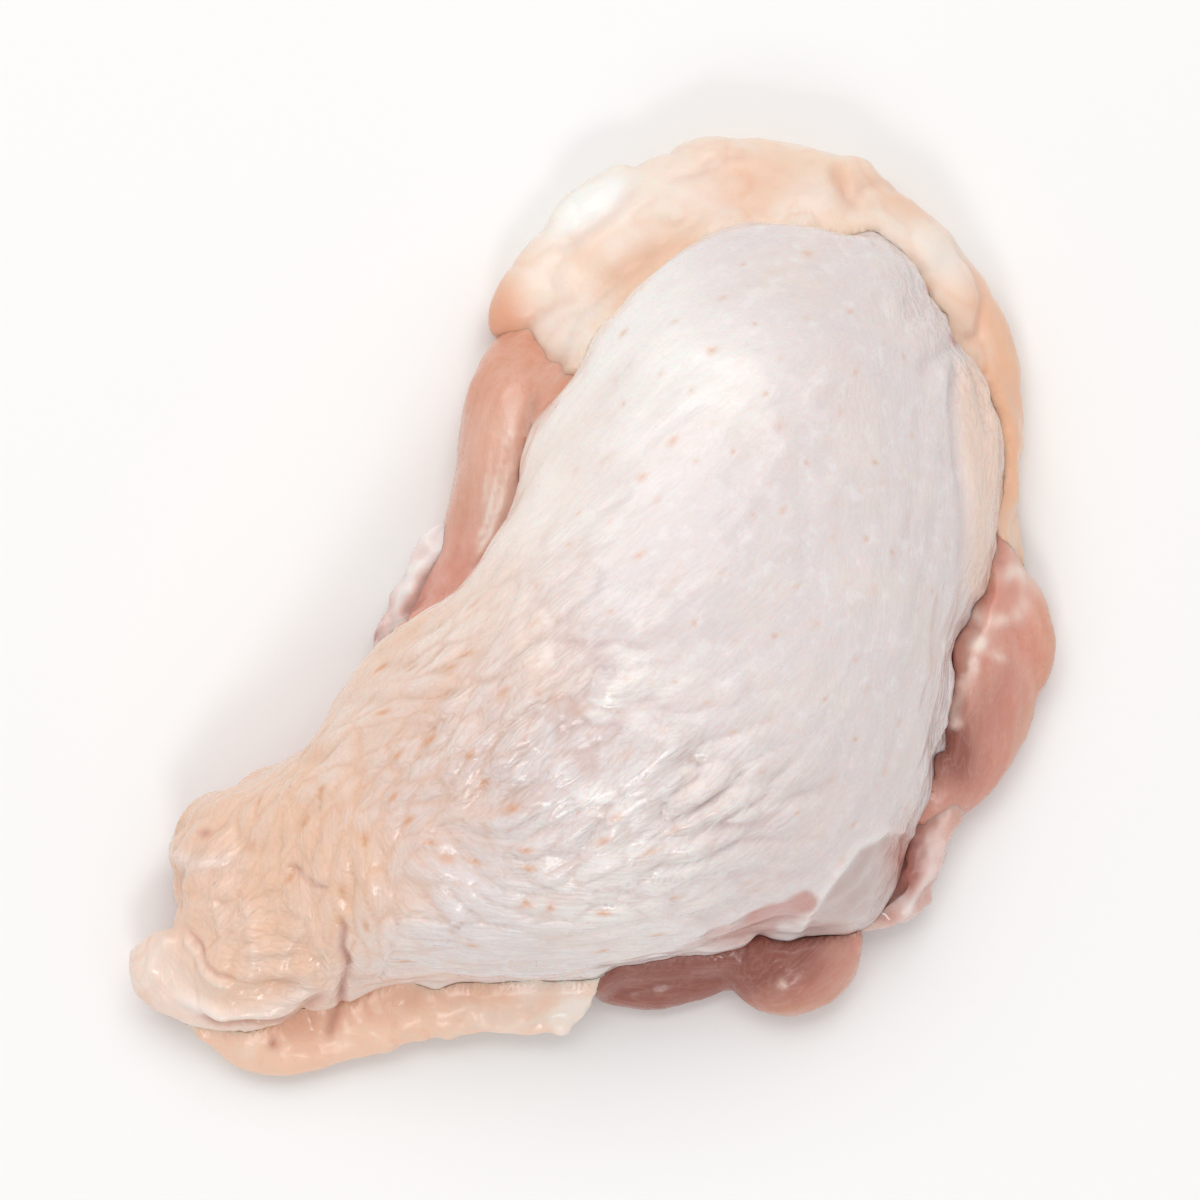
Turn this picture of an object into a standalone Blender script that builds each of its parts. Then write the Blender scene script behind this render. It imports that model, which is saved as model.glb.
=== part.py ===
"""Raw chicken thigh with its skin on, lying skin side up.

A sheet of skin wraps a plump muscle. A pad of soft fat spreads from under the skin round the thick
(head) end, and a second fold of skin shows under the thin (tail) end and along one long side.
+X runs from the tail to the head, +Z is up, and the thigh rests on the plane z = 0.
Sizes are written in millimetres and turned to metres when each mesh is finished.
"""

import math

import bmesh
import bpy
import numpy as np
from mathutils import Matrix, Vector

MM = 0.001

# Driving dimensions, in millimetres
TAIL_X = -67.3  # where the skin ends at the tail
HEAD_X = 52.3  # where the skin ends at the head
SKIN_THICKNESS = 1.5
CORE_INSET = 2.6  # how far the muscle's core stays inside the skin's rim
CORE_SINK = 2.7  # and how far its top stays below the skin's outer face
GAP = 0.35  # clearance between two pieces that touch
SMALLEST_REACH = 8.0  # least distance from crest to rim that an inset is measured on

# Shape numbers without a unit
FULLNESS = 0.88  # power on the rise from rim to crest: under 1 is plumper than an ellipse
EDGE_HOLD = 6  # power with which the edge's small bends fade towards the crest
BASE_DEPTH = 1.3  # how far the core's underside would reach below its rim, in rim heights
BASE_SQUARE = 0.5  # power on that depth: the lower it is, the steeper the core's lower sides
BAND_BLUNT = 0.45  # power on a band's ends: 1 is a pointed ellipse, less is blunter

# Fineness of the meshes
SKIN_CELLS = (38, 24)  # cells of the skin's grid, along and across
CORE_RINGS = (48, 28)  # segments round the muscle's core, and from its top to its base
REACH_OF_ROOM = 1.012  # the skin's room for clearance reaches this much past its rim
VOXELS = {"meat": 3.6, "fat_pad": 2.6, "under_flap": 2.0, "far_membrane": 1.4, "near_membrane": 1.4}
SMOOTHING = {"meat": 6, "fat_pad": 6, "under_flap": 3, "far_membrane": 3, "near_membrane": 3}

CENTRE_X = (TAIL_X + HEAD_X) / 2
HALF_LENGTH = (HEAD_X - TAIL_X) / 2

# The edge of the skin seen from above, as (x, y) from head to tail
FAR_EDGE = (
    (52.3, 6.0), (50.5, 11.5), (46.0, 16.4), (41.0, 20.6), (36.0, 22.8), (30.0, 23.3), (22.0, 22.2),
    (15.0, 20.3), (9.0, 19.3), (4.0, 17.0), (0.0, 13.4), (-4.0, 11.2), (-10.0, 9.9), (-17.0, 11.5),
    (-23.0, 11.6), (-29.0, 9.9), (-34.0, 8.3), (-40.0, 9.6), (-46.0, 11.8), (-50.5, 11.2),
    (-54.0, 8.6), (-56.6, 4.6), (-59.0, 2.8), (-62.0, 4.2), (-65.0, 3.8), (-66.8, 1.6), (-67.3, -1.0),
)
NEAR_EDGE = (
    (52.3, 6.0), (51.2, -1.0), (49.8, -6.5), (48.4, -12.5), (45.3, -18.7), (41.5, -22.4), (37.0, -25.8),
    (32.0, -28.2), (26.5, -31.0), (21.0, -35.6), (15.5, -39.6), (10.0, -42.8), (5.0, -46.0),
    (0.0, -48.0), (-4.0, -46.6), (-8.0, -43.8), (-13.0, -41.0), (-18.0, -37.6), (-24.0, -33.9),
    (-31.0, -29.2), (-38.0, -23.6), (-44.0, -18.4), (-50.0, -14.8), (-55.0, -13.0), (-59.5, -10.8),
    (-63.0, -8.2), (-65.8, -4.8), (-67.3, -1.0),
)
# The same edge without its small bends, which the skin takes on nearer its crest
FAR_SOFT = (
    (52.3, 6.0), (46.0, 16.0), (34.0, 21.0), (18.0, 21.0), (0.0, 17.0), (-20.0, 13.4), (-40.0, 10.4),
    (-57.0, 5.6), (-67.3, -1.0),
)
NEAR_SOFT = (
    (52.3, 6.0), (50.0, -7.0), (43.0, -20.0), (30.0, -31.0), (12.0, -39.0), (-6.0, -41.0),
    (-24.0, -34.0), (-40.0, -22.6), (-57.0, -11.0), (-67.3, -1.0),
)
# The crest of the skin, as (x, y) and (x, z)
CREST_Y = (
    (-67.3, -1.0), (-55, -2.0), (-42, -5.0), (-28, -8.0), (-10, -9.5), (8, -8.0), (22, -4.0), (35, 0.5),
    (52.3, 5.0),
)
CREST_Z = (
    (-67.3, 13.0), (-57, 17.5), (-48, 22.5), (-38, 28.0), (-25, 33.5), (-10, 36.8), (5, 37.8), (20, 37.8),
    (34, 36.5), (45, 34.0), (52.3, 32.0),
)

# Round the skin's rim by angle, from the head through the far side: height, how far the skin
# turns under itself (degrees), and how far its edge then hangs below that height
RIM = (
    (0, 12.5, 10, 1.4), (25, 13.5, 8, 1.2), (50, 13.5, 6, 1.0), (75, 12.0, 8, 1.2), (95, 9.5, 12, 1.8),
    (120, 7.5, 14, 2.2), (150, 6.5, 14, 2.0), (180, 5.5, 10, 1.0), (210, 6.0, 10, 1.0), (235, 7.5, 8, 1.0),
    (255, 8.5, 8, 1.2), (275, 7.2, 8, 1.4), (292, 7.0, 12, 2.0), (308, 8.0, 20, 2.8), (328, 8.5, 28, 3.4),
    (345, 10.0, 20, 2.6), (360, 12.5, 10, 1.4),
)

# Soft straps, as (x, y, z, half width, half height) from end to end
FAR_MUSCLE = (
    (17.0, 27.0, 5.0, 5.0, 7.0), (9.4, 23.2, 5.2, 6.2, 7.6), (2.4, 17.4, 5.0, 6.2, 7.4),
    (-6.0, 12.6, 4.4, 5.6, 6.6), (-15.0, 10.0, 3.6, 4.6, 5.4), (-26.0, 8.0, 3.0, 3.8, 4.4),
)
FAT_ROLL = (
    (12.0, 25.5, 4.0, 5.0, 5.6), (20.0, 27.0, 4.6, 9.0, 7.2), (30.0, 26.2, 5.0, 11.0, 7.9),
    (40.0, 22.0, 5.2, 11.5, 8.2), (47.0, 14.5, 5.2, 10.2, 8.2), (50.0, 6.0, 5.0, 9.6, 7.9),
    (50.4, -3.0, 4.4, 8.4, 7.2), (47.6, -12.0, 3.8, 7.0, 6.0), (43.4, -19.6, 3.2, 4.8, 4.8),
    (40.8, -27.0, 2.6, 2.2, 3.2),
)
FLAP_BAND = (
    (-62.6, 1.0, 2.4, 3.4, 1.8), (-62.2, -5.0, 2.6, 6.6, 2.2), (-58.8, -10.6, 2.8, 8.4, 2.6),
    (-53.0, -15.0, 3.2, 8.0, 2.8), (-45.6, -19.4, 3.8, 7.6, 2.8), (-38.4, -25.4, 4.2, 7.4, 2.8),
    (-31.8, -31.6, 4.2, 7.2, 2.8), (-26.0, -35.0, 4.4, 4.0, 2.2),
)
FAR_MEMBRANE = (
    (-23.0, 12.0, 3.0, 1.6, 1.8), (-17.0, 13.8, 3.8, 2.8, 2.4), (-10.0, 15.8, 4.6, 2.8, 2.6),
    (-4.0, 18.4, 5.6, 1.6, 1.8),
)
NEAR_MEMBRANE = (
    (-4.0, -45.4, 6.4, 1.8, 1.8), (1.0, -46.4, 5.6, 3.0, 2.6), (6.0, -47.2, 4.4, 3.6, 3.6),
    (11.0, -45.2, 4.2, 3.0, 3.2), (15.6, -43.2, 4.6, 3.4, 3.0), (19.0, -40.6, 4.8, 1.8, 1.8),
)

# Colour and roughness of each sub-part
LOOKS = {
    "skin": ((0.80, 0.69, 0.66), 0.38),
    "meat": ((0.62, 0.29, 0.24), 0.32),
    "fat_pad": ((0.86, 0.62, 0.45), 0.35),
    "under_flap": ((0.82, 0.56, 0.42), 0.36),
    "far_membrane": ((0.80, 0.66, 0.60), 0.25),
    "near_membrane": ((0.72, 0.52, 0.48), 0.25),
}


def curve_through(points):
    """A smooth function through (x, y) points."""
    xs, ys = np.array(sorted(points), float).T
    slopes = np.gradient(ys, xs)

    def at(x):
        x = np.clip(x, xs[0], xs[-1])
        i = np.clip(np.searchsorted(xs, x) - 1, 0, len(xs) - 2)
        step = xs[i + 1] - xs[i]
        t = (x - xs[i]) / step
        start = ys[i] * (1 + 2 * t) + step * slopes[i] * t
        end = ys[i + 1] * (3 - 2 * t) + step * slopes[i + 1] * (t - 1)
        return start * (1 - t) ** 2 + end * t * t

    return at


def edge_curve(edge):
    """y of the skin's edge against the angle whose cosine gives x, so that both ends close round."""
    return curve_through([(math.acos(np.clip((x - CENTRE_X) / HALF_LENGTH, -1, 1)), y) for x, y in edge])


FAR_Y, NEAR_Y = edge_curve(FAR_EDGE), edge_curve(NEAR_EDGE)
FAR_SOFT_Y, NEAR_SOFT_Y = edge_curve(FAR_SOFT), edge_curve(NEAR_SOFT)
CREST_Y_AT, CREST_Z_AT = curve_through(CREST_Y), curve_through(CREST_Z)
RIM_Z, RIM_TUCK, RIM_DROP = (curve_through([(row[0], row[i]) for row in RIM]) for i in (1, 2, 3))


def form_point(theta, phi, inset=0.0, sink=0.0):
    """A point of the thigh's outer form. theta runs from the crest (0) past the rim (pi / 2), and
    phi goes round from the head. inset pulls the rim in and sink lowers the crest."""
    reach = math.sin(theta)
    p, q = reach * math.cos(phi), reach * math.sin(phi)
    x = CENTRE_X + HALF_LENGTH * p
    across = q / math.sqrt(max(1e-9, 1 - p * p))
    around = math.acos(np.clip(p, -1, 1))
    crest_y = CREST_Y_AT(x)
    sharp, soft = (FAR_Y, FAR_SOFT_Y) if q > 0 else (NEAR_Y, NEAR_SOFT_Y)
    edge_y = soft(around) + (sharp(around) - soft(around)) * reach**EDGE_HOLD
    y = crest_y + abs(across) * (edge_y - crest_y)
    flat_scale = 1 - inset / max(SMALLEST_REACH, abs(edge_y - crest_y))
    x = CENTRE_X + (x - CENTRE_X) * (1 - inset / HALF_LENGTH)
    y = crest_y + (y - crest_y) * flat_scale
    degrees = math.degrees(phi) % 360
    rim_z = RIM_Z(degrees)
    crest_z = CREST_Z_AT(x) - sink
    z = rim_z + (crest_z - rim_z) * max(0.0, math.cos(theta)) ** FULLNESS
    return x, y, z


def skin_point(u, v, reach=1.0):
    """A point of the skin's outer face, for u and v from -1 to 1."""
    p, q = u * math.sqrt(1 - v * v / 2), v * math.sqrt(1 - u * u / 2)
    phi = math.atan2(q, p)
    degrees = math.degrees(phi) % 360
    tuck = math.radians(RIM_TUCK(degrees))
    theta = math.hypot(p, q) * reach * (math.pi / 2 + tuck)
    x, y, z = form_point(theta, phi)
    if theta > math.pi / 2:
        z -= RIM_DROP(degrees) * math.sin(theta - math.pi / 2) / math.sin(tuck)
    return x, y, z


def new_object(name, bm, collection):
    """Ends a mesh that was built in millimetres: turns it to metres and gives it an object."""
    bmesh.ops.scale(bm, vec=(MM, MM, MM), verts=bm.verts)
    mesh = bpy.data.meshes.new(name)
    bm.to_mesh(mesh)
    bm.free()
    obj = bpy.data.objects.new(name, mesh)
    collection.objects.link(obj)
    return obj


def give_material(obj):
    colour, roughness = LOOKS[obj.name]
    made = bpy.data.materials.new(obj.name)
    made.use_nodes = True
    shader = made.node_tree.nodes["Principled BSDF"]
    shader.inputs["Base Color"].default_value = (*colour, 1)
    shader.inputs["Roughness"].default_value = roughness
    shader.inputs["Metallic"].default_value = 0
    obj.data.materials.clear()
    obj.data.materials.append(made)


def skin_sheet(name, collection, thickness, outward=0.0, reach=1.0):
    """The skin as a sheet that a Solidify modifier thickens, by outward mm on its outer side."""
    bm = bmesh.new()
    bmesh.ops.create_grid(bm, x_segments=SKIN_CELLS[0], y_segments=SKIN_CELLS[1], size=1)
    for vert in bm.verts:
        vert.co = skin_point(vert.co.x, vert.co.y, reach)
    obj = new_object(name, bm, collection)
    solid = obj.modifiers.new("thickness", "SOLIDIFY")
    solid.thickness = thickness * MM
    solid.offset = 2 * outward / thickness - 1
    return obj


def add_ellipsoid(bm, at, radii, turn=0.0):
    """A lobe: a round body of three radii, turned about Z by degrees."""
    turned = Matrix.Rotation(math.radians(turn), 4, "Z")
    place = Matrix.Translation(at) @ turned @ Matrix.Diagonal((*radii, 1))
    bmesh.ops.create_uvsphere(bm, u_segments=24, v_segments=14, radius=1, matrix=place)


def add_band(bm, stations):
    """A soft strap through the stations, with rounded ends."""
    knots = np.array(stations, float)
    along = np.linspace(0, 1, len(knots))
    x_at, y_at, z_at, width_at, height_at = (curve_through(list(zip(along, row))) for row in knots.T)
    made = bmesh.ops.create_uvsphere(bm, u_segments=18, v_segments=4 * len(knots), radius=1)
    for vert in made["verts"]:
        theta = math.acos(max(-1.0, min(1.0, vert.co.z)))
        s = theta / math.pi
        before, after = max(0.0, s - 0.02), min(1.0, s + 0.02)
        heading = Vector((x_at(after) - x_at(before), y_at(after) - y_at(before), 0))
        side = Vector((heading.y, -heading.x, 0)).normalized()
        ring = max(math.sin(theta), 1e-6)
        across, up = Vector((vert.co.x, vert.co.y)) / ring * ring**BAND_BLUNT
        vert.co = Vector((x_at(s), y_at(s), z_at(s) + up * height_at(s))) + side * across * width_at(s)


def add_core(bm):
    """The muscle under the skin: the outer form drawn in, closed down to a base on the floor."""
    made = bmesh.ops.create_uvsphere(bm, u_segments=CORE_RINGS[0], v_segments=CORE_RINGS[1], radius=1)
    for vert in made["verts"]:
        theta = math.acos(max(-1.0, min(1.0, vert.co.z)))
        phi = math.atan2(vert.co.y, vert.co.x)
        x, y, z = form_point(theta, phi, CORE_INSET, CORE_SINK)
        if theta > math.pi / 2:
            z *= 1 - BASE_DEPTH * abs(math.cos(theta)) ** BASE_SQUARE
        vert.co = (x, y, z)


def fuse(name, bm, collection):
    """Lobes that cross become one soft body: a voxel remesh, some smoothing, and a flat base."""
    rough = new_object(name + "_rough", bm, collection)
    remesh = rough.modifiers.new("fuse", "REMESH")
    remesh.mode = "VOXEL"
    remesh.voxel_size = VOXELS[name] * MM
    smooth = rough.modifiers.new("soften", "SMOOTH")
    smooth.factor = 0.5
    smooth.iterations = SMOOTHING[name]
    made = applied(name, rough)
    flatten_base(made)
    return made


def applied(name, obj):
    """A new mesh object in obj's place, holding what obj's modifiers make of it."""
    bpy.context.view_layer.update()
    graph = bpy.context.evaluated_depsgraph_get()
    mesh = bpy.data.meshes.new_from_object(obj.evaluated_get(graph), depsgraph=graph)
    mesh.name = name
    collection = obj.users_collection[0]
    bpy.data.objects.remove(obj)
    made = bpy.data.objects.new(name, mesh)
    collection.objects.link(made)
    return made


def flatten_base(obj):
    """Cuts away what lies below the floor and closes the cut."""
    bm = bmesh.new()
    bm.from_mesh(obj.data)
    cut = bmesh.ops.bisect_plane(
        bm, geom=[*bm.verts, *bm.edges, *bm.faces], plane_co=(0, 0, 0), plane_no=(0, 0, 1), clear_inner=True
    )
    rim = [item for item in cut["geom_cut"] if isinstance(item, bmesh.types.BMEdge)]
    bmesh.ops.holes_fill(bm, edges=rim)
    bmesh.ops.triangulate(bm, faces=bm.faces)
    bm.to_mesh(obj.data)
    bm.free()


def room_for(obj, collection):
    """A copy of obj swollen by the gap, which cuts clearance into its neighbours."""
    room = bpy.data.objects.new(obj.name + "_room", obj.data.copy())
    collection.objects.link(room)
    swell = room.modifiers.new("swell", "DISPLACE")
    swell.strength = GAP * MM
    swell.mid_level = 0
    return as_cutter(room)


def as_cutter(obj):
    obj.hide_render = True
    obj.display_type = "WIRE"
    return obj


def carve(obj, cutters):
    """Cuts the cutters out of obj and keeps its largest body."""
    name = obj.name
    for cutter in cutters:
        cut = obj.modifiers.new("clear_" + cutter.name, "BOOLEAN")
        cut.operation = "DIFFERENCE"
        cut.solver = "MANIFOLD"
        cut.object = cutter
    obj.name = name + "_uncut"
    made = applied(name, obj)
    keep_largest_body(made)
    return made


def keep_largest_body(obj):
    """Drops the loose scraps that a cut can leave."""
    bm = bmesh.new()
    bm.from_mesh(obj.data)
    unseen, bodies = set(bm.verts), []
    while unseen:
        body, waiting = set(), [unseen.pop()]
        while waiting:
            vert = waiting.pop()
            body.add(vert)
            beside = {edge.other_vert(vert) for edge in vert.link_edges} & unseen
            unseen -= beside
            waiting.extend(beside)
        bodies.append(body)
    largest = max(bodies, key=len)
    bmesh.ops.delete(bm, geom=[vert for vert in bm.verts if vert not in largest], context="VERTS")
    bm.to_mesh(obj.data)
    bm.free()


def build_meat(parts):
    """The muscle: the core under the skin, and the lobes that show beyond it."""
    bm = bmesh.new()
    add_core(bm)
    # near side, towards the head: a flat muscle that ends in a blunt corner
    add_ellipsoid(bm, (25.0, -28.0, 4.6), (17.0, 12.0, 7.0), turn=28)
    add_ellipsoid(bm, (33.5, -32.5, 3.6), (6.0, 8.6, 4.6), turn=-24)
    add_ellipsoid(bm, (23.0, -38.6, 3.6), (12.5, 6.2, 5.0), turn=17)
    # near side, middle: a round lobe that shows under the skin, and the low edge of flesh beside it
    add_ellipsoid(bm, (-8.0, -43.6, 4.0), (9.4, 9.2, 6.0))
    add_ellipsoid(bm, (-21.0, -36.6, 2.6), (9.6, 4.6, 4.2), turn=-36)
    # far side: the muscle's edge that shows between the fat and the middle of the skin
    add_ellipsoid(bm, (13.0, 20.0, 5.0), (9.0, 7.0, 9.0))
    add_band(bm, FAR_MUSCLE)
    return fuse("meat", bm, parts)


def build_fat(parts):
    """The soft fat that spreads from under the skin round the head."""
    bm = bmesh.new()
    add_band(bm, FAT_ROLL)
    add_ellipsoid(bm, (22.5, 32.2, 3.6), (10.4, 5.2, 5.4), turn=8)
    add_ellipsoid(bm, (29.5, 34.2, 4.6), (7.4, 4.2, 5.0), turn=4)
    add_ellipsoid(bm, (44.5, 26.5, 4.6), (7.8, 4.8, 7.0), turn=-52)
    add_ellipsoid(bm, (53.6, 17.4, 4.4), (4.2, 3.8, 6.2))
    return fuse("fat_pad", bm, parts)


def build_band(name, stations, parts):
    """A piece that is one soft strap: the fold of skin under the edge, or a scrap of membrane."""
    bm = bmesh.new()
    add_band(bm, stations)
    return fuse(name, bm, parts)


def centre_on_origin(pieces):
    """Moves the pieces sideways, so that the middle of their joint box is over the origin."""
    bpy.context.view_layer.update()
    corners = np.array([corner for piece in pieces for corner in piece.bound_box])
    middle = (corners.min(axis=0) + corners.max(axis=0)) / 2
    for piece in pieces:
        piece.data.transform(Matrix.Translation((-middle[0], -middle[1], 0)))


def main():
    for obj in list(bpy.data.objects):
        bpy.data.objects.remove(obj)
    parts = bpy.data.collections.new("chicken_thigh")
    cutters = bpy.data.collections.new("cutters")
    bpy.context.scene.collection.children.link(parts)
    bpy.context.scene.collection.children.link(cutters)

    skin_sheet("skin", parts, SKIN_THICKNESS)
    rooms = [as_cutter(skin_sheet("skin_room", cutters, SKIN_THICKNESS + 2 * GAP, GAP, REACH_OF_ROOM))]
    pieces = (
        build_band("under_flap", FLAP_BAND, parts),
        build_fat(parts),
        build_band("far_membrane", FAR_MEMBRANE, parts),
        build_band("near_membrane", NEAR_MEMBRANE, parts),
    )
    for piece in pieces:
        rooms.append(room_for(carve(piece, rooms), cutters))
    carve(build_meat(parts), rooms)

    centre_on_origin(parts.objects)
    for obj in parts.objects:
        give_material(obj)
        obj.data.shade_smooth()


if __name__ == "__main__":
    main()
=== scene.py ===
import itertools
import math
import bmesh
import bpy
import numpy as np
from mathutils import Matrix, Vector, bvhtree, kdtree


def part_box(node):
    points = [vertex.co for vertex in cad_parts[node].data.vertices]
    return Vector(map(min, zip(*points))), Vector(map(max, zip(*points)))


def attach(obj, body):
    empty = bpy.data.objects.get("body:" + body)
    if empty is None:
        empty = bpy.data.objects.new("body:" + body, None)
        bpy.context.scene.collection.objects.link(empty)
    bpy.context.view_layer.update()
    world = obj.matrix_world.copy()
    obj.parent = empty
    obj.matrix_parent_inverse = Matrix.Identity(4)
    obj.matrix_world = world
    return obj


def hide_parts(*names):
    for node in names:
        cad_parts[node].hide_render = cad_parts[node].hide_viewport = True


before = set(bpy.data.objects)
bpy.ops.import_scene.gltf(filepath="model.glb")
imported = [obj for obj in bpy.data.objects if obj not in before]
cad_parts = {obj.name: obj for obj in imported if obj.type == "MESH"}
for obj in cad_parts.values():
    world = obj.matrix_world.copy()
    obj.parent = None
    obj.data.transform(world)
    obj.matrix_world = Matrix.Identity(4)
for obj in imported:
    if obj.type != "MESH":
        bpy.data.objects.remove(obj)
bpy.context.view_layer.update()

# A raw chicken thigh with its skin on, lying skin side up. Lengths are in millimetres until a mesh is finished.
mm = 0.001
bpy.context.scene.view_settings.view_transform = "Standard"    # keeps the pale skin as pale as it is

# The skin's rim and crest, as part of the same form the solids have: (x, y) and (x, z) from above
skinShape = {
    "tailX": -67.3, "headX": 52.3, "fullness": 0.88, "edgeHold": 6, "cells": (392, 240), "thickness": 1.4,
    "rimShake": 1.0,
    "farEdge": ((52.3, 6.0), (50.5, 11.5), (46.0, 16.4), (41.0, 20.6), (36.0, 22.8), (30.0, 23.3), (22.0, 22.2),
                (15.0, 20.3), (9.0, 19.3), (4.0, 17.0), (0.0, 13.4), (-4.0, 11.2), (-10.0, 9.9), (-17.0, 11.5),
                (-23.0, 11.6), (-29.0, 9.9), (-34.0, 8.3), (-40.0, 9.6), (-46.0, 11.8), (-50.5, 11.2),
                (-54.0, 8.6), (-56.6, 4.6), (-59.0, 2.8), (-62.0, 4.2), (-65.0, 3.8), (-66.8, 1.6), (-67.3, -1.0)),
    "nearEdge": ((52.3, 6.0), (51.2, -1.0), (49.8, -6.5), (48.4, -12.5), (45.3, -18.7), (41.5, -22.4),
                 (37.0, -25.8), (32.0, -28.2), (26.5, -31.0), (21.0, -35.6), (15.5, -39.6), (10.0, -42.8),
                 (5.0, -46.0), (0.0, -47.6), (-4.0, -45.4), (-8.6, -41.6), (-13.0, -39.2), (-18.0, -36.6),
                 (-24.0, -33.6), (-31.0, -29.2), (-38.0, -23.6), (-44.0, -18.4), (-50.0, -14.8), (-55.0, -13.0),
                 (-59.5, -10.8), (-63.0, -8.2), (-65.8, -4.8), (-67.3, -1.0)),
    "farSoft": ((52.3, 6.0), (46.0, 16.0), (34.0, 21.0), (18.0, 21.0), (0.0, 17.0), (-20.0, 13.4), (-40.0, 10.4),
                (-57.0, 5.6), (-67.3, -1.0)),
    "nearSoft": ((52.3, 6.0), (50.0, -7.0), (43.0, -20.0), (30.0, -31.0), (12.0, -39.0), (-6.0, -41.0),
                 (-24.0, -34.0), (-40.0, -22.6), (-57.0, -11.0), (-67.3, -1.0)),
    "crestY": ((-67.3, -1.0), (-55, -2.0), (-42, -5.0), (-28, -8.0), (-10, -9.5), (8, -8.0), (22, -4.0), (35, 0.5),
               (52.3, 6.0)),
    "crestZ": ((-67.3, 13.0), (-57, 17.5), (-48, 22.5), (-38, 28.0), (-25, 33.5), (-10, 36.8), (5, 37.8),
               (20, 37.8), (34, 36.5), (45, 34.0), (52.3, 32.0)),
    # by angle round the rim: height, how far the skin turns under (degrees), how far its edge hangs
    "rim": ((0, 12.5, 10, 1.4), (25, 13.5, 8, 1.2), (50, 13.5, 6, 1.0), (75, 12.0, 8, 1.2), (95, 9.5, 12, 1.8),
            (120, 7.5, 14, 2.2), (150, 6.5, 14, 2.0), (180, 5.5, 10, 1.0), (210, 6.0, 10, 1.0), (235, 7.5, 8, 1.0),
            (255, 8.5, 8, 1.2), (275, 7.2, 8, 1.4), (292, 7.0, 12, 2.0), (308, 8.0, 20, 2.8), (328, 8.5, 28, 3.4),
            (345, 10.0, 20, 2.6), (360, 12.5, 10, 1.4)),
}


def smoothCurve(points):
    xs, ys = np.array(sorted(points), float).T
    slopes = np.gradient(ys, xs)

    def at(x):
        x = np.clip(x, xs[0], xs[-1])
        i = np.clip(np.searchsorted(xs, x) - 1, 0, len(xs) - 2)
        step = xs[i + 1] - xs[i]
        t = (x - xs[i]) / step
        start = ys[i] * (1 + 2 * t) + step * slopes[i] * t
        end = ys[i + 1] * (3 - 2 * t) + step * slopes[i + 1] * (t - 1)
        return start * (1 - t) ** 2 + end * t * t

    return at


centreX = (skinShape["tailX"] + skinShape["headX"]) / 2
halfLength = (skinShape["headX"] - skinShape["tailX"]) / 2


def edgeCurve(edge):
    # against the angle whose cosine gives x, so both ends close round
    return smoothCurve([(math.acos(max(-1.0, min(1.0, (x - centreX) / halfLength))), y) for x, y in edge])


farY, nearY = edgeCurve(skinShape["farEdge"]), edgeCurve(skinShape["nearEdge"])
farSoftY, nearSoftY = edgeCurve(skinShape["farSoft"]), edgeCurve(skinShape["nearSoft"])
crestYAt, crestZAt = smoothCurve(skinShape["crestY"]), smoothCurve(skinShape["crestZ"])
rimZ, rimTuck, rimDrop = (smoothCurve([(row[0], row[k]) for row in skinShape["rim"]]) for k in (1, 2, 3))

# the solids were centred over the origin: the same shift is read from the skin's solid
low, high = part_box("skin")
edgeYs = [y for x, y in skinShape["farEdge"] + skinShape["nearEdge"]]
shift = np.array([
    (low.x + high.x) / 2 / mm - centreX,
    (low.y + high.y) / 2 / mm - (min(edgeYs) + max(edgeYs)) / 2,
    0.0,
])
print("shift", shift)


def formPoints(theta, phi, inset=0.0, sink=0.0):
    # points of the thigh's outer form: theta from the crest (0) past the rim, phi round from the head
    reach = np.sin(theta)
    p, q = reach * np.cos(phi), reach * np.sin(phi)
    x = centreX + halfLength * p
    across = q / np.sqrt(np.maximum(1e-9, 1 - p * p))
    around = np.arccos(np.clip(p, -1, 1))
    crestY = crestYAt(x)
    sharp = np.where(q > 0, farY(around), nearY(around))
    soft = np.where(q > 0, farSoftY(around), nearSoftY(around))
    edgeY = soft + (sharp - soft) * reach ** skinShape["edgeHold"]
    y = crestY + np.abs(across) * (edgeY - crestY)
    narrowed = 1 - inset / np.maximum(8.0, np.abs(edgeY - crestY))
    x = centreX + (x - centreX) * (1 - inset / halfLength)
    y = crestY + (y - crestY) * narrowed
    base = rimZ(np.degrees(phi) % 360)
    rise = crestZAt(x) - sink - base
    z = base + rise * np.maximum(0.0, np.cos(theta)) ** skinShape["fullness"]
    return np.stack([x, y, z], axis=-1)


def skinPoints(u, v):
    p, q = u * np.sqrt(1 - v * v / 2), v * np.sqrt(1 - u * u / 2)
    phi = np.arctan2(q, p)
    degrees = np.degrees(phi) % 360
    tuck = np.radians(rimTuck(degrees))
    theta = np.hypot(p, q) * (math.pi / 2 + tuck)
    points = formPoints(theta, phi)
    past = np.maximum(0.0, theta - math.pi / 2)
    points[:, 2] -= rimDrop(degrees) * np.sin(past) / np.sin(tuck)
    return points, theta, rimZ(degrees)


def getPoints(mesh):
    flat = np.zeros(len(mesh.vertices) * 3)
    mesh.vertices.foreach_get("co", flat)
    return flat.reshape(-1, 3)


def setPoints(mesh, points):
    mesh.vertices.foreach_set("co", points.ravel())
    mesh.update()


def getNormals(mesh):
    flat = np.zeros(len(mesh.vertices) * 3, np.float32)
    mesh.vertex_normals.foreach_get("vector", flat)
    return flat.reshape(-1, 3).astype(float)


def giveAttribute(mesh, name, values):
    layer = mesh.attributes.new(name, "FLOAT", "POINT")
    layer.data.foreach_set("value", np.clip(values, 0, 1).astype(np.float32))


wrinkleWays = (-45, 0, 45, 90)


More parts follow.
